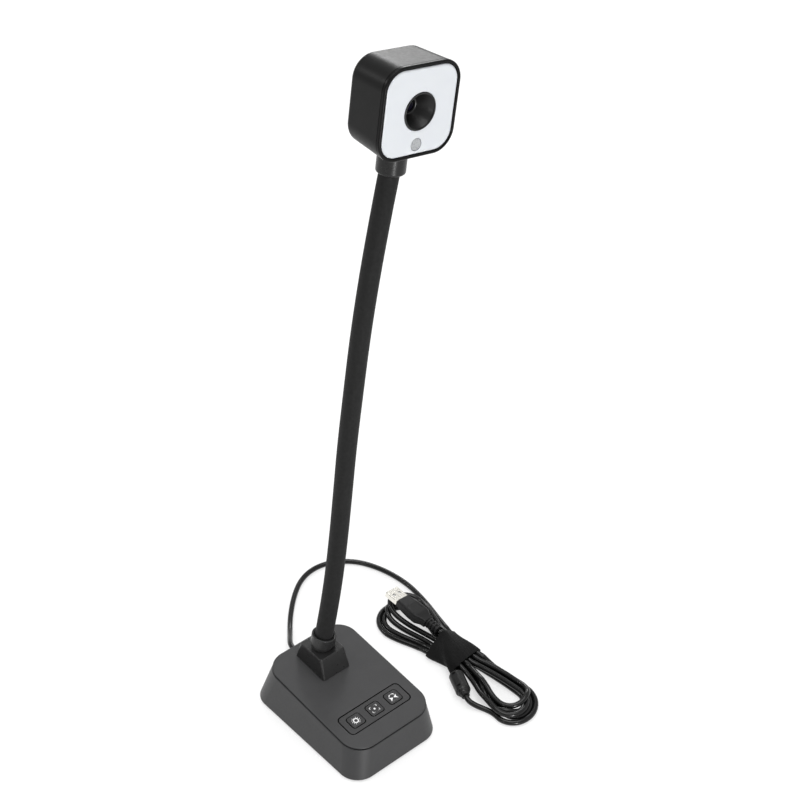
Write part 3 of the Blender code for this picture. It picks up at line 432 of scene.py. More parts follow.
# Each look: how it is mottled, how rough it is (as worn takes it, or one even value), its grain, and how
# strongly it reflects. Mottle, worn and grain start with how many lumps there are along a metre.
LOOKS = {
    "base_plastic": ((90, 0.0322, 0.0358), (700, 0.42, 0.50), (4200, 20, 0.30), 0.36),
    # a darker copy of base_plastic: painted shade on the skirt's side walls, and the surround's own darker
    # tone
    "painted_wall_shade_and_trim": ((90, 0.0270, 0.0300), (700, 0.40, 0.48), (4200, 20, 0.30), 0.36),
    # painted shade: near black and dull, for the walls of the gaps between parts
    "painted_shade": ((500, 0.003, 0.006), (500, 0.6, 0.8), None, 0.1),
    "plate_plastic": ((300, 0.018, 0.027), 0.6, (1800, 40, 0.5), 0.5),
    "key_plastic": ((400, 0.024, 0.028), (1500, 0.38, 0.46), (4500, 20, 0.25), 0.32),
    "key_print": ((2500, 0.74, 0.86), (2500, 0.4, 0.6), None, 0.5),
    "pedestal_plastic": ((120, 0.0148, 0.0165), (400, 0.27, 0.33), (4000, 10, 0.12), 0.36),
    "neck_sleeve": ((260, 0.0055, 0.0068), (500, 0.68, 0.80), (3000, 30, 0.35), 0.22),
    "head_plastic": ((200, 0.0046, 0.0055), (500, 0.35, 0.41), (4200, 10, 0.15), 0.15),
    "collar_plastic": ((200, 0.0090, 0.0100), (400, 0.26, 0.30), (4000, 10, 0.12), 0.30),
    "frame_plastic": ((300, 0.0045, 0.0058), (500, 0.27, 0.33), (1500, 10, 0.10), 0.11),
    "diffuser": ((40, (0.565, 0.585, 0.612), (0.585, 0.605, 0.628)),
                 (300, 0.28, 0.38), (2200, 10, 0.12), 0.5),
    "sensor_window": ((900, (0.26, 0.27, 0.28), (0.36, 0.37, 0.38), 1.0),
                      (900, 0.25, 0.4), (1500, 100, 0.4), 0.5),
    "lens_plastic": ((900, 0.0046, 0.0056), (1500, 0.28, 0.32), (5000, 10, 0.2), 0.50),
    "lens_glass": ((250, (0.002, 0.002, 0.006), (0.004, 0.003, 0.010)), (400, 0.02, 0.06), None, 0.30),
    "cord_jacket": ((350, 0.0040, 0.0052), (40, 0.20, 0.24), None, 0.32),
    "hook_and_loop": ((1500, 0.0025, 0.006, 5.0), 0.95, (3500, 400, 0.8, 6.0), 0.15),
    "ferrite_cover": ((400, 0.0065, 0.009), (700, 0.30, 0.40), (2600, 20, 0.25), 0.28),
    "plug_mould": ((500, 0.0050, 0.0062), (900, 0.36, 0.46), (3200, 20, 0.3), 0.24),
    "nickel": ((300, (0.80, 0.78, 0.72), (0.88, 0.86, 0.80)),
               (900, 0.18, 0.30), (900, 10, 0.3, 2, (1, 8, 1)), 0.5),
    "contact_plastic": ((900, 0.57, 0.67), 0.5, (2500, 20, 0.3), 0.5),
    "contact_gold": ((900, (0.70, 0.50, 0.20), (0.80, 0.60, 0.26)), (1200, 0.2, 0.35), None, 0.5),
    "rubber": ((500, 0.009, 0.012), (900, 0.62, 0.78), (1800, 40, 0.4), 0.3),
    "steel": ((200, (0.48, 0.49, 0.51), (0.60, 0.61, 0.63)),
              (500, 0.28, 0.45), (1800, 30, 0.4, 2, (1, 20, 1)), 0.5),
    "neck_core": ((300, (0.34, 0.35, 0.37), (0.45, 0.46, 0.48)),
                  0.4, (700, 200, 0.6, 2, (0.2, 0.2, 1)), 0.5),
    "circuit_board": ((900, (0.015, 0.12, 0.05), (0.03, 0.20, 0.09), 0.0), (700, 0.3, 0.5), None, 0.5),
    "white_board": ((700, (0.68, 0.69, 0.67), (0.80, 0.81, 0.79)), (700, 0.35, 0.5), None, 0.5),
    "switch_plastic": ((900, 0.014, 0.024), (900, 0.32, 0.5), (2500, 20, 0.3), 0.5),
    "floor": ((3, 0.41, 0.43), 0.6, None, 0.2),
}
BLUER = {"base_plastic": 1.03, "painted_wall_shade_and_trim": 1.03, "key_plastic": 1.03, "plug_mould": 1.05}
METALS = ("nickel", "contact_gold", "steel", "neck_core")
MORE_INPUTS = {
    "neck_sleeve": {"Sheen Weight": 0.04, "Sheen Roughness": 0.5},
    "hook_and_loop": {"Sheen Weight": 0.08, "Sheen Roughness": 0.45},
    "diffuser": {"Subsurface Weight": 0.15, "Subsurface Radius": (0.002, 0.002, 0.0025)},
    "lens_glass": {"Coat Weight": 0.15, "Coat Tint": (0.75, 0.8, 1.0, 1.0)},
    "floor": {"Emission Color": (1, 1, 1, 1), "Emission Strength": 0.56},
}


def rgb(colour, blue):
    """A colour, or a grey level made a little bluer."""
    return colour if isinstance(colour, tuple) else (colour, colour, colour * blue)


def make_look(name):
    mottle, roughness, grain, specular = LOOKS[name]
    look = Look(name)
    scale, dark, light, *detail = mottle
    blue = BLUER.get(name, 1.0)
    look.mottle(scale, rgb(dark, blue), rgb(light, blue), *detail)
    if isinstance(roughness, tuple):
        look.worn(*roughness)
    else:
        look.set("Roughness", roughness)
    if grain:
        look.grain(*grain)
    look.set("Metallic", 1.0 if name in METALS else 0.0)
    look.set("Specular IOR Level", specular)
    for key, value in MORE_INPUTS.get(name, {}).items():
        look.set(key, value)
    return look.material


looks = {name: make_look(name) for name in LOOKS}


def done(obj, body, slot, *nodes, look=None):
    """obj gets its material, rides on body, and stands for the model's nodes."""
    if obj.type == "MESH":
        shading = obj.modifiers.new("shading", "WEIGHTED_NORMAL")
        shading.keep_sharp = True
    obj.data.materials.clear()
    obj.data.materials.append(looks[look or slot])
    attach(obj, body)
    if nodes:
        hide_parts(*nodes)
    return obj


def paint_shade_on_walls(obj, place, low):
    """The walls across a face of place, above a height, get a near-black look: painted shade in the gaps
    between parts.
    """
    obj.data.materials.append(looks["painted_shade"])
    turn = place.inverted()
    for face in obj.data.polygons:
        if abs((turn.to_3x3() @ face.normal).z) < 0.35 and (turn @ face.center).z > low:
            face.material_index = 1


# --- Camera ---


def build_camera():
    data = bpy.data.cameras.new("camera")
    data.lens = LENS_MM
    data.sensor_width = 36.0
    data.clip_start, data.clip_end = 0.01, 20.0
    camera = put("camera", data)
    camera.location = CAMERA_PLACE
    camera.rotation_euler = (math.radians(90 - CAMERA_ELEVATION), 0, math.radians(CAMERA_AZIMUTH))
    bpy.context.scene.camera = camera


# --- Base ---


def deck_frame():
    """The sloping top face: X to the right, Y up the slope, Z out of the face."""
    return shift(DECK_SHIFT[0], 0, DECK_HEIGHT) @ Matrix.Rotation(DECK_SLOPE, 4, "X")


def deck_outline(inset):
    points = rounded_rect(DECK_WIDTH - 2 * inset, DECK_DEPTH - 2 * inset, DECK_CORNER - inset, 20)
    return [(x, y + DECK_SHIFT[1]) for x, y in points]


def base_outline(inset):
    points = rounded_rect(BASE_WIDTH - 2 * inset, BASE_DEPTH - 2 * inset, BASE_CORNER - inset, 20)
    return [(x + BASE_SHIFT[0], y + BASE_SHIFT[1]) for x, y in points]


def on_deck(inset, height):
    return [deck_frame() @ p for p in flat(deck_outline(inset), height)]


def rounding(radius, steps=5):
    """(inset, drop) pairs round an outer edge, from the side face to the top face."""
    turns = [math.pi / 2 * i / steps for i in range(steps + 1)]
    return [(radius * (1 - math.cos(a)), radius * (1 - math.sin(a))) for a in turns]


def back_wall():
    """The y of the skirt's outer back face at the cord's height, and its lean."""
    foot = Vector((0, BASE_SHIFT[1] + BASE_DEPTH / 2, SKIRT_FOOT + FOOT_FILLET))
    top = deck_frame() @ Vector((0, DECK_SHIFT[1] + DECK_DEPTH / 2 + SKIRT_LEAN, -SEAM_DEPTH - TOP_FILLET))
    lean = (foot.y - top.y) / (top.z - foot.z)
    return foot.y - lean * (CORD_EXIT[2] - foot.z), lean


def cord_exit_frame(y):
    return shift(CORD_EXIT[0], y, CORD_EXIT[2]) @ Matrix.Rotation(-math.pi / 2, 4, "X")


def build_skirt():
    rings = [flat(base_outline(SKIRT_WALL), SKIRT_FOOT)]
    rings += [flat(base_outline(inset), SKIRT_FOOT + drop) for drop, inset in rounding(FOOT_FILLET)]
    rings += [on_deck(inset - SKIRT_LEAN, -SEAM_DEPTH - drop) for inset, drop in rounding(TOP_FILLET)]
    ledge, seat = LEDGE_SHARE * SKIRT_WALL, -LID_LIP - GAP
    rings += [on_deck(ledge, -SEAM_DEPTH), on_deck(ledge, seat), on_deck(SKIRT_WALL, seat)]
    skirt = skin("skirt", rings, loop=True)
    reach = SKIRT_WALL + TOOL_REACH
    hole = rod("cord_hole", RELIEF_GROOVE + GAP, -reach, reach, cord_exit_frame(back_wall()[0]))
    # the skirt takes the darker copy of the base plastic: painted shade on its side walls
    done(cut(skirt, hole), "base", "base_plastic", "base_skirt", look="painted_wall_shade_and_trim")


def build_lid():
    inner = SKIRT_WALL + GAP
    rings = [on_deck(inner, -LID_THICKNESS), on_deck(inner, -LID_LIP), on_deck(0.0, -LID_LIP)]
    rings += [on_deck(inset, -drop) for inset, drop in rounding(LID_ROUNDING, 6)]
    lid = skin("lid", rings)
    size = [value + 2 * SEAM_WIDTH for value in SURROUND[:2]]
    outline = rounded_rect(*size, SURROUND[2] + 2 * GAP, 12)
    reach = LID_THICKNESS + TOOL_REACH
    window = skin("window", [flat(outline, -reach), flat(outline, reach)], place=key_frame())
    done(cut(lid, window), "base", "base_plastic", "base_top_panel")
    # painted shade on the lid's side walls and on the walls of its window
    paint_shade_on_walls(lid, deck_frame(), -LID_THICKNESS)


def key_frame(x=0.0):
    return deck_frame() @ shift(x, KEY_ROW, 0)


def key_places():
    return [(name, KEY_PITCH * (i - 1)) for i, name in enumerate(KEY_NAMES)]


def build_surround():
    size = [value + 2 * KEY_SEAM_WIDTH for value in KEY_SIZE[:2]]
    window = rounded_rect(*size, KEY_SIZE[2] + GAP, 12)
    outlines = [rounded_rect(*SURROUND, 12)]
    outlines += [[(px + x, py) for px, py in window] for _, x in key_places()]
    surround = plate("surround", outlines, -SURROUND_THICKNESS, 0.0, SURROUND_ROUNDING, key_frame())
    # the surround takes the same darker copy, for its own darker tone
    done(surround, "base", "base_plastic", "key_surround", look="painted_wall_shade_and_trim")
    # painted shade on the surround's outer walls and on the walls of its key windows
    paint_shade_on_walls(surround, key_frame(), -SURROUND_THICKNESS)


def key_cap(inset, height):
    """One ring of a key, at the angle steps that all its rings share."""
    width, depth, corner = KEY_SIZE
    return flat(rounded_rect(width - 2 * inset, depth - 2 * inset, corner - 0.6 * inset, 10), height)


def build_keys():
    for name, x in key_places():
        rings = [key_cap(0.0, -KEY_DEPTH)]
        rings += [key_cap(inset, KEY_PROUD - drop) for inset, drop in rounding(KEY_ROUNDING)]
        for share in (step / 6 for step in range(1, 7)):
            rings.append(key_cap(KEY_RIM + KEY_SLOPE * share, KEY_PROUD - KEY_DISH * ease(share)))
        body = "key_" + name
        cap = done(skin(f"cap_{name}", rings, place=key_frame(x)), body, "key_plastic", body)
        # painted shade on the key's side walls, in the gap round it
        paint_shade_on_walls(cap, key_frame(x), -KEY_DEPTH)
        prints = {"light": sun_outlines, "focus": focus_outlines, "mirror": mirror_outlines}[name]()
        low = KEY_PROUD - KEY_DISH - PRINT_THICKNESS
        mark = printed(f"print_{name}", prints, low, low + 2 * PRINT_THICKNESS, key_frame(x))
        done(mark, body, "key_plastic", look="key_print")


def printed(name, outlines, low, high, place):
    """Flat shapes of a thin layer of ink. A shape is its outline, and a second one if it has a hole."""
    mesh = bmesh.new()
    for shape in outlines:
        if len(shape) == 1:
            rings = [[mesh.verts.new((x, y, z)) for x, y in shape[0]] for z in (low, high)]
            mesh.faces.new(rings[0])
            mesh.faces.new(rings[1])
        else:
            rings = [[mesh.verts.new((x, y, z)) for x, y in shape[i]] for i, z in
                     ((0, low), (0, high), (1, high), (1, low))]
            rings.append(rings[0])
        for a, b in zip(rings, rings[1:]):
            for i in range(len(a)):
                mesh.faces.new((a[i], a[i - 1], b[i - 1], b[i]))
    return new_object(name, mesh, place)


def bar(start, end, width):
    """A thin rectangle from one point to another."""
    along = (Vector(end) - Vector(start)).normalized() * width / 2
    side = Vector((-along.y, along.x))
    corners = (Vector(start) + side, Vector(start) - side, Vector(end) - side, Vector(end) + side)
    return [[tuple(c) for c in corners]]


def sun_outlines():
    """A ring with long and short rays by turns."""
    shapes = [[circle(radius, 32) for radius in SUN_RING]]
    for i in range(SUN_RAY_COUNT):
        angle = 2 * math.pi * i / SUN_RAY_COUNT
        way = Vector((math.cos(angle), math.sin(angle)))
        shapes.append(bar(way * SUN_RAY_START, way * SUN_RAYS[i % 2], SUN_RAY_WIDTH))
    return shapes


def focus_outlines():
    """Four corner brackets round a dot."""
    shapes = [[circle(FOCUS_DOT, 24)]]
    far, near, inner = FOCUS_REACH, FOCUS_REACH - FOCUS_ARM, FOCUS_REACH - FOCUS_WIDTH
    corner = [(far, far), (near, far), (near, inner), (inner, inner), (inner, near), (far, near)]
    for sx, sy in ((1, 1), (1, -1), (-1, 1), (-1, -1)):
        shapes.append([[(sx * x, sy * y) for x, y in corner]])
    return shapes


def mirror_outlines():
    """Two facing arrowheads under an arc."""
    shapes = [[[(sx * x, y) for x, y in MIRROR_ARROW]] for sx in (1, -1)]
    centre, (start, end) = (0.0, MIRROR_ARC_HEIGHT), MIRROR_ARC_ENDS
    band = arc(centre, MIRROR_ARC[0], start, end, 20) + arc(centre, MIRROR_ARC[1], end, start, 20)
    return shapes + [[band]]


def build_pedestal():
    x0, y0 = PEDESTAL_PLACE
    slope = math.tan(DECK_SLOPE)
    width, depth, corner = PEDESTAL_FOOT_SIZE

    def head(inset, height):
        wide, deep, soft = PEDESTAL_TOP_SIZE
        return flat([(x0 + x, y0 + y) for x, y in
                     rounded_rect(wide - 2 * inset, deep - 2 * inset, soft - 0.9 * inset, 10)], height)

    foot = rounded_rect(width, depth, corner, 10)
    rings = [[Vector((x0 + x, y0 + y, DECK_HEIGHT + (y0 + y) * slope + GAP)) for x, y in foot]]
    rings += [head(inset, PEDESTAL_TOP - drop) for inset, drop in rounding(PEDESTAL_ROUNDING)]
    done(skin("pedestal_shell", rings, sharp=50), "base", "pedestal_plastic", "pedestal")


def build_lower_collar():
    axis = neck_axes()[0]
    turn = frame_at((0, 0, 0), axis)

    def ring(radius, along, tilted=True):
        centre = neck_start() + axis * along
        points = flat(circle(radius), 0)
        return [centre + (turn @ p if tilted else p) for p in points]

    edge = COLLAR_EDGE
    rings = [ring(COLLAR_NECK, GAP, False), ring(COLLAR_NECK, COLLAR_STEP - edge / 2)]
    rings += [ring(COLLAR_RADIUS - inset, COLLAR_STEP + drop) for drop, inset in rounding(edge)]
    rings += [ring(COLLAR_RADIUS - inset, COLLAR_HEIGHT - drop) for inset, drop in rounding(edge)]
    rings += [ring(COLLAR_BORE + d, COLLAR_HEIGHT - i) for i, d in rounding(COLLAR_BORE_EDGE)[::-1]]
    rings.append(ring(COLLAR_BORE, NECK_FOOT - GAP))
    done(skin("lower_collar", rings), "base", "pedestal_plastic", "neck_collar_lower")


def build_strain_relief():
    wall, lean = back_wall()
    inner = -SKIRT_WALL - 2 * GAP

    def leaning(radius, along):
        return [Vector((x, y, along + lean * y)) for x, y in circle(radius, 48)]

    rings = [leaning(RELIEF_FLANGE, inner - FLANGE_WIDTH), leaning(RELIEF_FLANGE, inner)]
    rings += [leaning(RELIEF_GROOVE, inner), leaning(RELIEF_GROOVE, GAP), leaning(RELIEF_SHOULDER, GAP)]
    profile = [(RELIEF_SHOULDER - inset, SHOULDER_WIDTH - drop) for inset, drop in rounding(RELIEF_EDGE)]
    length = CORD_EXIT[1] - GAP - wall
    pitch = (length - SHOULDER_WIDTH - RIB_HEIGHT) / RELIEF_RIBS
    for i in range(RELIEF_RIBS):
        radius = RELIEF_RADIUS - RELIEF_TAPER * i
        low = SHOULDER_WIDTH + (i + 0.2) * pitch
        soft = 0.12 * pitch
        profile += [(radius - inset, low + drop) for drop, inset in rounding(soft, 3)]
        profile += [(radius - inset, low + 0.55 * pitch - drop) for inset, drop in rounding(soft, 3)]
        profile += [(radius - RIB_HEIGHT, low + 0.6 * pitch), (radius - RIB_HEIGHT, low + 0.9 * pitch)]
    profile.append((RELIEF_TIP, length))
    rings += [flat(circle(radius, 48), along) for radius, along in profile]
    relief = skin("strain_relief", rings, place=cord_exit_frame(wall), sharp=45)
    done(relief, "base", "rubber", "cord_strain_relief")


# --- Neck ---


def neck_start():
    return Vector((*PEDESTAL_PLACE, PEDESTAL_TOP))


def neck_axes():
    """The direction of each link, from the base to the head."""
    away = Vector((math.cos(NECK_HEADING), math.sin(NECK_HEADING), 0))
    return [away * math.sin(lean) + Vector((0, 0, math.cos(lean))) for lean in NECK_LEANS]


def neck_points():
    """The start of the neck, its bending points, and its end in the head."""
    axes = neck_axes()
    points = [neck_start() + axes[0] * NECK_FOOT, neck_start() + axes[0] * NECK_FIRST]
    for axis in axes[1:-1]:
        points.append(points[-1] + axis * NECK_LINK)
    return points + [points[-1] + axes[-1] * NECK_LAST]


def tube(name, line, radius, sides=40):
    """A tube along a line of points, with flat ends."""
    rings = []
    for i, point in enumerate(line):
        ahead, behind = line[min(i + 1, len(line) - 1)], line[max(i - 1, 0)]
        turn = frame_at(point, ahead - behind)
        rings.append([turn @ p for p in flat(circle(radius, sides), 0)])
    return skin(name, rings)


def build_neck():
    """One smooth sleeve in eight pieces. Each curves round the joint between two links."""
    points = neck_points()
    middles = [(a + b) / 2 for a, b in zip(points, points[1:])]
    for i, pivot in enumerate(points[1:-1]):
        start, end = middles[i], middles[i + 1]
        shares = [step / NECK_STEPS for step in range(NECK_STEPS + 1)]
        line = [start.lerp(pivot, t).lerp(pivot.lerp(end, t), t) for t in shares]
        if i == 0:
            line = [points[0].lerp(start, t / 8) for t in range(8)] + line
        if i == len(points) - 3:
            line += [end.lerp(points[-1], t / 8) for t in range(1, 9)]
        sleeve = tube(f"sleeve_{i + 1}", line, NECK_RADIUS)
        sleeve.data.materials.append(looks["neck_sleeve"])
        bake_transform(sleeve)
        nodes = [f"neck_sleeve_{i + 1}", f"neck_sleeve_{i + 2}"] if i == 7 else [f"neck_sleeve_{i + 1}"]
        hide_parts(*nodes)


# --- Head ---


def head_frame():
    return Matrix.Translation(HEAD_CENTRE) @ HEAD_TURN.to_matrix().to_4x4()


def facing(up=0.0):
    """The head's frame turned so that Z points out of its front and Y up, and moved up its front."""
    return head_frame() @ shift(0, 0, up) @ Matrix.Rotation(math.pi / 2, 4, "X")


def square(size, corner, height, steps=24):
    return flat(rounded_rect(size, size, corner, steps), height)


def build_housing():
    front, back = HEAD_DEPTH / 2 - FRAME_DEPTH - GAP, -HEAD_DEPTH / 2
    taper = (HEAD_SIZE - HEAD_BACK_SIZE) / HEAD_DEPTH

    def outer(depth, inset=0.0):
        return square(HEAD_BACK_SIZE + taper * (depth - back) - 2 * inset, HEAD_CORNER - inset, depth)

    rings = [outer(back + drop, inset) for inset, drop in rounding(HEAD_FILLET, 8)[::-1]]
    rings += [outer(front - FINE_EDGE), outer(front, FINE_EDGE), outer(front, HEAD_WALL)]
    rings += [outer(back + 2 * HEAD_WALL, HEAD_WALL), outer(back + HEAD_WALL, 2 * HEAD_WALL)]
    done(skin("housing", rings, place=facing()), "head", "head_plastic", "head_housing")


def build_frame():
    face = HEAD_DEPTH / 2
    back, hole = face - FRAME_DEPTH, PANEL_SIZE + 2 * GAP
    rings = [square(HEAD_SIZE - 2 * FINE_EDGE, HEAD_CORNER - FINE_EDGE, back)]
    rings.append(square(HEAD_SIZE, HEAD_CORNER, back + FINE_EDGE))
    rings += [square(HEAD_SIZE - 2 * i, HEAD_CORNER - i, face - d) for i, d in rounding(FRAME_ROUNDING, 7)]
    rings += [square(hole + 2 * d, PANEL_CORNER + GAP + d, face - i) for i, d in rounding(SOFT_EDGE, 3)[::-1]]
    rings.append(square(hole, PANEL_CORNER + GAP, back))
    done(skin("front_frame", rings, loop=True, place=facing()), "head", "frame_plastic", "head_front_frame")


def build_panel():
    """The white light plate, with holes for the hood and the round window, and the window itself."""
    top = HEAD_DEPTH / 2 - PANEL_SINK
    low, edge = top - PANEL_THICKNESS, SOFT_EDGE
    rings = [square(PANEL_SIZE, PANEL_CORNER, low), square(PANEL_SIZE, PANEL_CORNER, top - 2.2 * edge)]
    rings += [square(PANEL_SIZE - 0.6 * edge, PANEL_CORNER - 0.3 * edge, top - 1.6 * edge)]
    for share in (step / 5 for step in range(1, 6)):
        inset, fall = 0.5 * edge + PANEL_DOME * share, 1.4 * edge * (1 - share) ** 2
        rings.append(square(PANEL_SIZE - 2 * inset, PANEL_CORNER - inset, top - fall))
    holes = [rod("hole", radius + GAP, low - TOOL_REACH, top + TOOL_REACH, facing(-drop), 72)
             for radius, drop in ((HOOD_RADIUS, 0.0), (WINDOW_RADIUS, WINDOW_DROP))]
    done(cut(skin("panel", rings, place=facing()), *holes), "head", "diffuser", "light_diffuser")
    radius = WINDOW_RADIUS
    profile = [(0, low), (radius, low), (radius, top - FINE_EDGE), (radius - FINE_EDGE, top)]
    profile += [(across, top - depth) for across, depth in WINDOW_DISH]
    window = turned("round_window", profile, 48, place=facing(-WINDOW_DROP))
    done(window, "head", "sensor_window", "sensor_window")


def build_hood():
    """The ridged funnel in front of the lens."""
    lip, floor, rim = HEAD_DEPTH / 2 + HOOD_EDGE, HEAD_DEPTH / 2 - HOOD_DEPTH, HOOD_RADIUS - HOOD_RIM
    top, inner = lip - 2 * HOOD_EDGE, HOOD_THROAT + HOOD_LEDGE
    profile = [(HOOD_RADIUS, floor - HOOD_FLOOR)]
    profile += [(HOOD_RADIUS - i, lip - d) for i, d in rounding(HOOD_EDGE, 4)]
    profile += [(rim + d, lip - i) for i, d in rounding(0.5 * HOOD_EDGE, 3)[::-1]]
    for i in range(HOOD_RIDGES):
        for across, along in RIDGE_SHAPE:
            share = ((i + across) / HOOD_RIDGES, (i + along) / HOOD_RIDGES)
            profile.append((rim - (rim - inner) * share[0], top - (top - floor) * share[1]))
    profile += [(inner, floor), (HOOD_THROAT, floor - FINE_EDGE / 2), (HOOD_THROAT, floor - HOOD_FLOOR)]
    done(turned("funnel", profile, 96, True, facing(), sharp=60), "head", "lens_plastic", "lens_hood")


def build_lens():
    """The lens barrel at the end of the funnel, and its domed glass."""
    nose = HEAD_DEPTH / 2 - HOOD_DEPTH + BARREL_NOSE
    seat = BARREL_RADIUS - GLASS_RIM
    profile = [(0, nose - BARREL_LENGTH), (BARREL_RADIUS, nose - BARREL_LENGTH)]
    profile += [(BARREL_RADIUS - i, nose - d) for i, d in rounding(SOFT_EDGE, 3)]
    profile += [(seat, nose), (seat, nose - GLASS_SEAT), (0, nose - GLASS_SEAT)]
    # The barrel takes the painted-shade look: near black and dull, so that the bottom of the funnel reads as
    # shade.
    done(turned("barrel", profile, place=facing()), "head", "lens_plastic", "lens_barrel", look="painted_shade")
    lens = seat - GAP
    turns = [math.pi / 2 * step / 10 for step in range(10)]
    profile = [(0, nose - GLASS_DEPTH), (lens, nose - GLASS_DEPTH)]
    profile += [(lens * math.cos(a), nose - GLASS_CROWN * (1 - math.sin(a))) for a in turns]
    done(turned("glass", profile + [(0, nose)], place=facing()), "head", "lens_glass", "lens_glass")


def build_boss():
    """The collar under the head. Its top follows the tapered housing."""
    foot = -HEAD_SIZE / 2 - BOSS_LENGTH
    taper = (HEAD_SIZE - HEAD_BACK_SIZE) / HEAD_DEPTH / 2
    profile = [(BOSS_RADIUS - i, foot + d) for i, d in rounding(BOSS_ROUNDING, 7)]
    profile += [(BOSS_BORE + d, foot + i) for i, d in rounding(SOFT_EDGE, 3)[::-1]]
    profile.append((BOSS_BORE, foot + BOSS_BORE_DEPTH))
    rings = [flat(circle(radius, 96), height) for radius, height in profile]
    back, roof = HEAD_DEPTH / 2 - BOSS_SETBACK, -HEAD_BACK_SIZE / 2 - GAP
    top = [Vector((x, y, roof - taper * (back - y))) for x, y in circle(BOSS_RADIUS, 96)]
    boss = skin("upper_collar", [top] + rings, place=head_frame() @ shift(0, BOSS_SETBACK, 0))
    done(boss, "head", "head_plastic", "neck_collar_upper", look="collar_plastic")


# --- Plug, ferrite and tie ---


def plug_frame():
    """The plug's frame at the root of its metal shell, with Z towards its tip and X across its width."""
    lying = PLUG_TURN.to_matrix().to_4x4() @ Matrix.Rotation(-math.pi / 2, 4, "X")
    return Matrix.Translation(PLUG_ROOT) @ lying


def plug_section(width, height, corner, along):
    return flat(rounded_rect(width, height, min(corner, 0.49 * min(width, height)), 8), along)


def plug_relief():
    """Rings of the ribbed strain relief, from the cord to the overmould."""
    thick, thin, tail = PLUG_RELIEF
    foot, pitch, root = -PLUG_SIZE[2] - tail, tail / PLUG_RIBS, 2 * thin - RIB_HEIGHT
    rings = [plug_section(root, root, thin, foot)]
    for i in range(PLUG_RIBS):
        radius = thin + (thick - thin) * (i + 1) / PLUG_RIBS
        for inset, share in RIB_SHAPE:
            size = 2 * (radius - inset * PLUG_RIB_HEIGHT)
            rings.append(plug_section(size, size, radius, foot + (i + 0.2 + share) * pitch))
    return rings


def plug_body():
    """Rings of the overmould's shoulder, grip and nose, towards the metal shell."""
    width, height, length = PLUG_SIZE
    width *= PLUG_SLIMMING
    wide, tall, spread = PLUG_SHOULDER
    (tight, full), (edge, nose) = PLUG_CORNERS, PLUG_EDGES
    rings = [plug_section(wide - 2 * i, tall - 2 * i, tight, -length + d) for d, i in rounding(edge, 3)]
    for share, grown in SHOULDER_SHAPE:
        size = (wide + (width - wide) * grown, tall + (height - tall) * grown, tight + (full - tight) * grown)
        rings.append(plug_section(*size, -length + edge + (spread - edge) * share))
    rings.append(plug_section(width, height, full, -PLUG_WAIST))
    wide, tall = width - PLUG_TAPER[0], height - PLUG_TAPER[1]
    rings += [plug_section(wide - 2 * i, tall - 2 * i, full - 0.5 * i, -d) for i, d in rounding(nose, 5)]
    return rings


def build_overmould():
    mould = skin("overmould", plug_relief() + plug_body(), place=plug_frame())
    sides = [shift(0, side * (PLUG_SIZE[1] / 2 + GRIP_LIFT), -PLUG_WAIST) for side in (1, -1)]
    grips = [block("grip", GRIP_SIZE, plug_frame() @ side) for side in sides]
    done(cut(mould, *grips), "base", "plug_mould", "usb_plug_overmould")


def build_metal():
    """The plug's metal shell with its two windows."""
    wide, tall, reach, wall = USB_SHELL

    def section(inset, along):
        return flat(rounded_rect(wide - 2 * inset, tall - 2 * inset, SHELL_CORNER - 0.5 * inset, 6), along)

    edge = FINE_EDGE / 2
    rings = [section(0, GAP), section(0, reach - edge), section(edge, reach), section(wall, reach)]
    shell = skin("shell", rings + [section(wall, GAP + 2 * wall)], place=plug_frame())
    windows = [block("window", SHELL_WINDOW, plug_frame() @ shift(x, 0, SHELL_WINDOW_REACH))
               for x in SHELL_WINDOW_PLACES]
    done(cut(shell, *windows), "base", "nickel", "usb_plug_shell")


def build_tongue():
    """The tongue in the metal shell, with its four contacts."""
    across, thick, along = USB_TONGUE
    place = plug_frame() @ shift(0, -TONGUE_DROP, 2 * GAP + 2 * USB_SHELL[3])
    outline = rounded_rect(across, thick, FINE_EDGE, 3)
    tip = [(TONGUE_TIP[0] * x, TONGUE_TIP[1] * y) for x, y in outline]
    rings = [flat(outline, 0), flat(outline, along - SOFT_EDGE), flat(tip, along)]
    done(skin("tongue", rings, place=place), "base", "contact_plastic", "usb_plug_tongue")
    mesh = bmesh.new()
    for x in CONTACT_PLACES:
        spot = shift(x, thick / 2 + CONTACT_SIZE[1] / 4, along / 2 + SOFT_EDGE)
        bmesh.ops.create_cube(mesh, size=1.0, matrix=spot @ Matrix.Diagonal((*CONTACT_SIZE, 1.0)))
    done(new_object("contacts", mesh, place), "base", "contact_plastic", look="contact_gold")


def ferrite_axis():
    return Vector((math.cos(FERRITE_HEADING), math.sin(FERRITE_HEADING), 0))


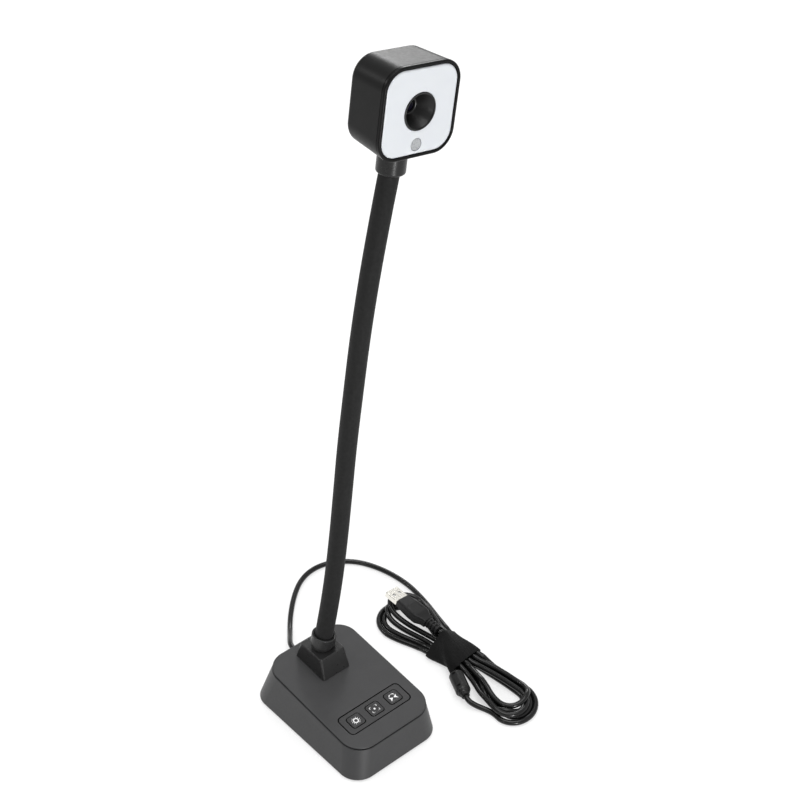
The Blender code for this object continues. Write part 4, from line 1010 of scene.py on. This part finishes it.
def build_ferrite():
    """A clamp-on shell: a round body with a narrower end, a split line and two pairs of clip notches."""
    half, wide, narrow = FERRITE_LENGTH / 2, FERRITE_RADIUS, FERRITE_RADIUS - FERRITE_NECK
    first, second, third = (along - half for along in FERRITE_SHOULDERS)
    profile = [(0, -half), (FERRITE_ENDS[0], -half)]
    profile += [(narrow - i, first + d) for d, i in rounding(FERRITE_EDGE, 4)]
    profile.append((narrow, second))
    profile += [(wide - i, third + d) for d, i in rounding(FERRITE_EDGE, 4)]
    profile += [(wide - i, half - FERRITE_TIP[0] - d) for i, d in rounding(FERRITE_TIP[1], 6)]
    profile += [(FERRITE_ENDS[1], half), (0, half)]
    place = frame_at(FERRITE_CENTRE, -ferrite_axis())
    bead = turned("bead", profile, 72, place=place)
    place = place @ Matrix.Rotation(math.radians(FERRITE_NOTCH), 4, "Z")
    tools = [block("notch", CLIP_SIZE, place @ shift(side, 0, along))
             for along in CLIP_PLACES for side in (wide, -wide)]
    tools.append(block("split", SPLIT_SIZE, place @ shift(*SPLIT_SHIFT)))
    done(cut(bead, *tools), "base", "ferrite_cover", "ferrite_bead")


def hull_radii(points, grow, sides):
    """Distances, from the points' middle, of the hull round circles on (x, z) points, by angle."""
    centre = (points.min(axis=0) + points.max(axis=0)) / 2
    turns = np.linspace(0, 2 * math.pi, sides, endpoint=False)
    ways = np.stack([np.cos(turns), np.sin(turns)], axis=1)
    reach = ((points - centre) @ ways.T).max(axis=0) + grow
    apart = np.cos(turns[:, None] - turns[None, :])
    radii = np.where(apart > 0.05, reach[None, :] / np.maximum(apart, 0.05), np.inf).min(axis=1)
    return centre, radii


def tie_sections(line):
    """The bundle under each row of the tie: its middle, and how far it reaches by angle, smoothed."""
    plug_end, away = relief_end()
    thick = [plug_end - away * step for step in np.linspace(0, RELIEF_UNDER, 5)]
    centres, radii = [], []
    for y in TIE_ROWS:
        near = line[np.abs(line[:, 1] - y) < CORD_NEAR][:, [0, 2]]
        near = np.vstack([near] + [[(p.x, p.z)] for p in thick if abs(p.y - y) < RELIEF_NEAR])
        centre, reach = hull_radii(near, CORD_RADIUS + TIE_SLACK, TIE_SIDES)
        centres.append(centre)
        radii.append(reach)
    centres, radii = np.array(centres), np.array(radii)
    for _ in range(TIE_SMOOTHINGS):
        for rows in (centres, radii):
            rows[1:-1] = (rows[:-2] + rows[1:-1] + rows[2:]) / 3
        radii = (np.roll(radii, 1, axis=1) + radii + np.roll(radii, -1, axis=1)) / 3
    return centres, radii


def tie_point(along, row, layer, centre, radii):
    """A point of the strap, so many sides along it, on its inner (0) or outer (1) layer."""
    climb = ease(min(1.0, max(0.0, (along / TIE_SIDES - TIE_LAP[0]) / TIE_LAP[1])))
    angle = math.radians(TIE_START) - 2 * math.pi * along / TIE_SIDES
    edge, front = abs(2 * row / (TIE_SLICES - 1) - 1) ** 6, row > TIE_SLICES / 2
    wave = 0.0007 * noise.noise(Vector((along * 0.11, 3.0 * front, 7.0)))
    wave += 0.0005 * noise.noise(Vector((along * 0.45, 9.0 * front, 2.0)))
    spot = Vector((along * 0.35, row * 0.6, layer * 5.0))
    rough = 0.00014 * noise.noise(spot) + 0.00016 * noise.noise(spot * 0.3)
    at = (angle % (2 * math.pi)) / (2 * math.pi) * TIE_SIDES
    low, share = int(at) % TIE_SIDES, at - int(at)
    reach = radii[low] * (1 - share) + radii[(low + 1) % TIE_SIDES] * share
    reach += layer * (TIE_THICKNESS - TIE_EDGE * edge) + climb * TIE_RISE + rough * (layer + climb)
    across, up = reach * math.cos(angle), reach * math.sin(angle)
    y = TIE_ROWS[row] + wave * edge + TIE_SLANT * across
    return centre[0] + across, y, max(centre[1] + up, TIE_FLOOR)


def build_tie(line):
    """A strap of hook-and-loop wound one turn and a quarter round the bundle."""
    centres, radii = tie_sections(line)
    way = [(row, 0) for row in range(TIE_SLICES)] + [(row, 1) for row in reversed(range(TIE_SLICES))]
    mesh = bmesh.new()
    rings = [[mesh.verts.new(tie_point(along, row, layer, centres[row], radii[row])) for row, layer in way]
             for along in range(int(TIE_TURNS * TIE_SIDES) + 1)]
    for a, b in zip(rings, rings[1:]):
        for i in range(len(way)):
            quad = (a[i - 1], a[i], b[i], b[i - 1])  # split along the same diagonal on both layers
            mesh.faces.new(quad if 0 < i <= TIE_SLICES else quad[1:] + quad[:1])
    for ring in (rings[0], rings[-1]):
        for i in range(TIE_SLICES - 1):
            mesh.faces.new((ring[i], ring[i + 1], ring[-i - 2], ring[-i - 1]))
    done(new_object("strap", mesh, sharp=60), "base", "hook_and_loop", "cable_tie")


# --- Cord ---


def smooth(points, spacing):
    """Points about spacing apart on a smooth curve through the given ones."""
    knots = [Vector(p) for p in points]
    knots = [knots[0] * 2 - knots[1]] + knots + [knots[-1] * 2 - knots[-2]]
    curve = []
    for a, b, c, d in zip(knots, knots[1:], knots[2:], knots[3:]):
        steps = max(1, round((c - b).length / spacing))
        for step in range(steps):
            t = step / steps
            curve.append(0.5 * (2 * b + (c - a) * t + (2 * a - 5 * b + 4 * c - d) * t**2
                                + (3 * b - a - 3 * c + d) * t**3))
    return curve + [knots[-2]]


def distances(points):
    """How far along a polyline each of its points is."""
    line = np.array([tuple(p) for p in points])
    return np.concatenate([[0], np.cumsum(np.linalg.norm(np.diff(line, axis=0), axis=1))])


def even(points, count):
    """count points spread evenly along a polyline."""
    line, along = np.array([tuple(p) for p in points]), distances(points)
    wanted = np.linspace(0, along[-1], count)
    return np.stack([np.interp(wanted, along, line[:, i]) for i in range(3)], axis=1)


def loop_points(sides, end_y, tie_y, height, leave, back, skew=0.0):
    """One loop of the hank, out of the tie and back to it. sides are its furthest x on the two ways."""
    half, middle = (sides[0] - sides[1]) / 2, (sides[0] + sides[1]) / 2
    turn_y = end_y + math.copysign(abs(half), tie_y - end_y)
    legs = ([], [])
    for leg, side, (x, z) in zip(legs, sides, (leave, back)):
        for share in LEG_SHARES:
            wide = math.sin(share * math.pi / 2) if skew and leg is legs[0] else ease(share)
            up = z + (height - z) * ease(min(1.0, share / LEG_DROP))
            leg.append(Vector((x + (side - x) * wide, tie_y + (turn_y - tie_y) * share, up)))
    bow = []
    for angle in (math.pi * step / 8 for step in range(9)):
        across = half * math.cos(angle) - skew * (abs(half) - BOW_HALF) * math.sin(angle)
        bow.append(Vector((middle + across, turn_y + (end_y - turn_y) * math.sin(angle), height)))
    return legs[0] + bow + legs[1][::-1]


def relief_end():
    """Where the cord enters the plug's strain relief, and the way that it comes from."""
    turn = PLUG_TURN.to_matrix()
    back = turn @ Vector((0, -1, 0))
    return Vector(PLUG_ROOT) + back * (PLUG_SIZE[2] + PLUG_RELIEF[2]), back


def ferrite_ends(reach):
    """Where the cord goes into the ferrite and comes out, so far past its ends."""
    half = ferrite_axis() * (FERRITE_LENGTH / 2 + reach)
    return Vector(FERRITE_CENTRE) + half, Vector(FERRITE_CENTRE) - half


def lead_in(start, end, way):
    """Points of a gentle curve from a loop's side, where the cord runs along +Y, into the ferrite."""
    reach = (end - start).length
    first, second = start + Vector((0, 0.48 * reach, 0)), end - way * 0.30 * reach
    points = []
    for step in range(1, 8):
        t = step / 8
        points.append((1 - t)**3 * start + 3 * t * (1 - t)**2 * first
                      + 3 * t * t * (1 - t) * second + t**3 * end)
    return points


def hank_route():
    """The cord before its turns settle: up to the hank, round it, and from the ferrite to the plug."""
    free = smooth(CORD_ROUTE, CORD_STEP)
    route = []
    for i, (right, left, low, height, leave, back) in enumerate(FRONT_LOOPS):
        route += loop_points((right, left), low, TIE_FRONT, height, leave, back, HANK_SKEW)
        if i < len(BACK_LOOPS):
            left, right, high, height, leave, back = BACK_LOOPS[i]
            route += loop_points((left, right), high, TIE_BACK, height, leave, back)
    below, above = ferrite_ends(FERRITE_RUN)
    route = route[:-len(LEG_SHARES)]
    route += lead_in(route[-1], below, (above - below).normalized())
    plug_end, away = relief_end()
    wound = smooth(list(CORD_ROUTE[-2:]) + route + [below], CORD_STEP)
    tail = smooth([below, above, Vector(TAIL_POINT), plug_end + away * PLUG_RUN, plug_end], CORD_STEP)
    start = next(i for i, p in enumerate(wound) if (p - Vector(CORD_ROUTE[-1])).length < 1e-6)
    return free, wound[start:], tail


def settle(line, fixed):
    """Pushes a cord's turns apart until they lie beside and on each other. Its fixed points stay."""
    home, index = line, np.arange(len(line))
    gap, apart = 2 * CORD_RADIUS * 1.02, np.abs(index[:, None] - index[None, :])
    for _ in range(SETTLE_ROUNDS):
        away = line[:, None, :] - line[None, :, :]
        far = np.linalg.norm(away, axis=2)
        near = (far < gap) & (apart > 4)
        push = np.where(near, (gap - far) / np.maximum(far, 1e-6), 0.0)[:, :, None] * away
        move = PUSH * push.sum(axis=1)
        drift = line - home
        move[1:-1] += BENDING * ((drift[:-2] + drift[2:]) / 2 - drift[1:-1])
        move[:, :2] -= HOMING * drift[:, :2]
        move[:, 2] -= SINKING
        size = np.linalg.norm(move, axis=1, keepdims=True)
        move *= np.minimum(1.0, LONGEST_MOVE / np.maximum(size, 1e-9))
        move[fixed] = 0.0
        line = line + move
        line[:, 2] = np.maximum(line[:, 2], CORD_RADIUS)
        inside = (line[:, 1] < TIE_BACK) & (line[:, 1] > TIE_FRONT) & ~fixed
        for axis, room in zip((0, 2), TIE_ROOM):
            line[inside, axis] = np.clip(line[inside, axis], *room)
    return line


def build_cord():
    """The whole cord as one curve. Before the hank, in the ferrite and at the plug it stays as laid out."""
    free, wound, tail = hank_route()
    whole = free + wound[1:] + tail[1:]
    line = even(whole, round(distances(whole)[-1] / CORD_STEP))
    along = distances(line)
    rear, tail_length = along[-1] - along, distances(tail)[-1]
    fixed = (along < distances(free)[-1]) | (rear < PLUG_STRETCH)
    before, after = FERRITE_HOLD
    fixed |= (rear > tail_length - FERRITE_LENGTH - before) & (rear < tail_length + after)
    line = settle(line, fixed)
    points = smooth(line, CORD_STEP / 2)
    data = bpy.data.curves.new("cord", "CURVE")
    data.dimensions = "3D"
    data.bevel_depth = CORD_RADIUS
    data.bevel_resolution = 6
    data.use_fill_caps = True
    spline = data.splines.new("POLY")
    spline.points.add(len(points) - 1)
    for knot, point in zip(spline.points, points):
        knot.co = (*point, 1.0)
    cord = put("cord", data)
    done(cord, "base", "cord_jacket", "cord_tube", "cord_hank")
    return cord, line, float(distances(points)[-1])


# --- Floor and light ---


def build_floor():
    mesh = bmesh.new()
    bmesh.ops.create_grid(mesh, x_segments=1, y_segments=1, size=FLOOR_REACH)
    floor = new_object("floor", mesh)
    floor.data.materials.append(looks["floor"])


def area_light(name, place, size, power):
    """A soft rectangular light that faces the object."""
    data = bpy.data.lights.new(name, "AREA")
    data.shape = "RECTANGLE"
    data.size, data.size_y = size
    data.energy = power
    light = put(name, data)
    light.location = place
    light.rotation_euler = (LIGHT_AIM - Vector(place)).to_track_quat("-Z", "Y").to_euler()


def build_light():
    """A white room, a little darker on the left, with soft boxes over and all round the object."""
    world = bpy.data.worlds.new("studio")
    world.use_nodes = True
    tree = world.node_tree
    background = tree.nodes["Background"]
    background.inputs["Color"].default_value = (1, 1, 1, 1)
    across = tree.nodes.new("ShaderNodeSeparateXYZ")
    tree.links.new(tree.nodes.new("ShaderNodeTexCoord").outputs["Generated"], across.inputs["Vector"])
    strength = tree.nodes.new("ShaderNodeMapRange")
    for key, number in ROOM:
        strength.inputs[key].default_value = number
    tree.links.new(across.outputs["X"], strength.inputs["Value"])
    tree.links.new(strength.outputs["Result"], background.inputs["Strength"])
    bpy.context.scene.world = world
    bpy.context.scene.view_settings.view_transform = "Standard"
    for name, values in LIGHTS.items():
        area_light(name, *values)


# --- Assembly ---


def dress_nodes():
    """The model's own pieces that stay in view get procedural materials."""
    for part in frame["record"]["subparts"]:
        node = frame["nodes"][part["node"]]
        node.data.materials.clear()
        node.data.materials.append(looks[part["material_slot"]])


dress_nodes()
build_camera()
build_skirt()
build_lid()
build_surround()
build_keys()
build_pedestal()
build_lower_collar()
build_strain_relief()
build_neck()
build_boss()
build_housing()
build_frame()
build_panel()
build_hood()
build_lens()
cord, cord_line, cord_length = build_cord()
build_tie(cord_line)
build_ferrite()
build_overmould()
build_metal()
build_tongue()
build_floor()
build_light()
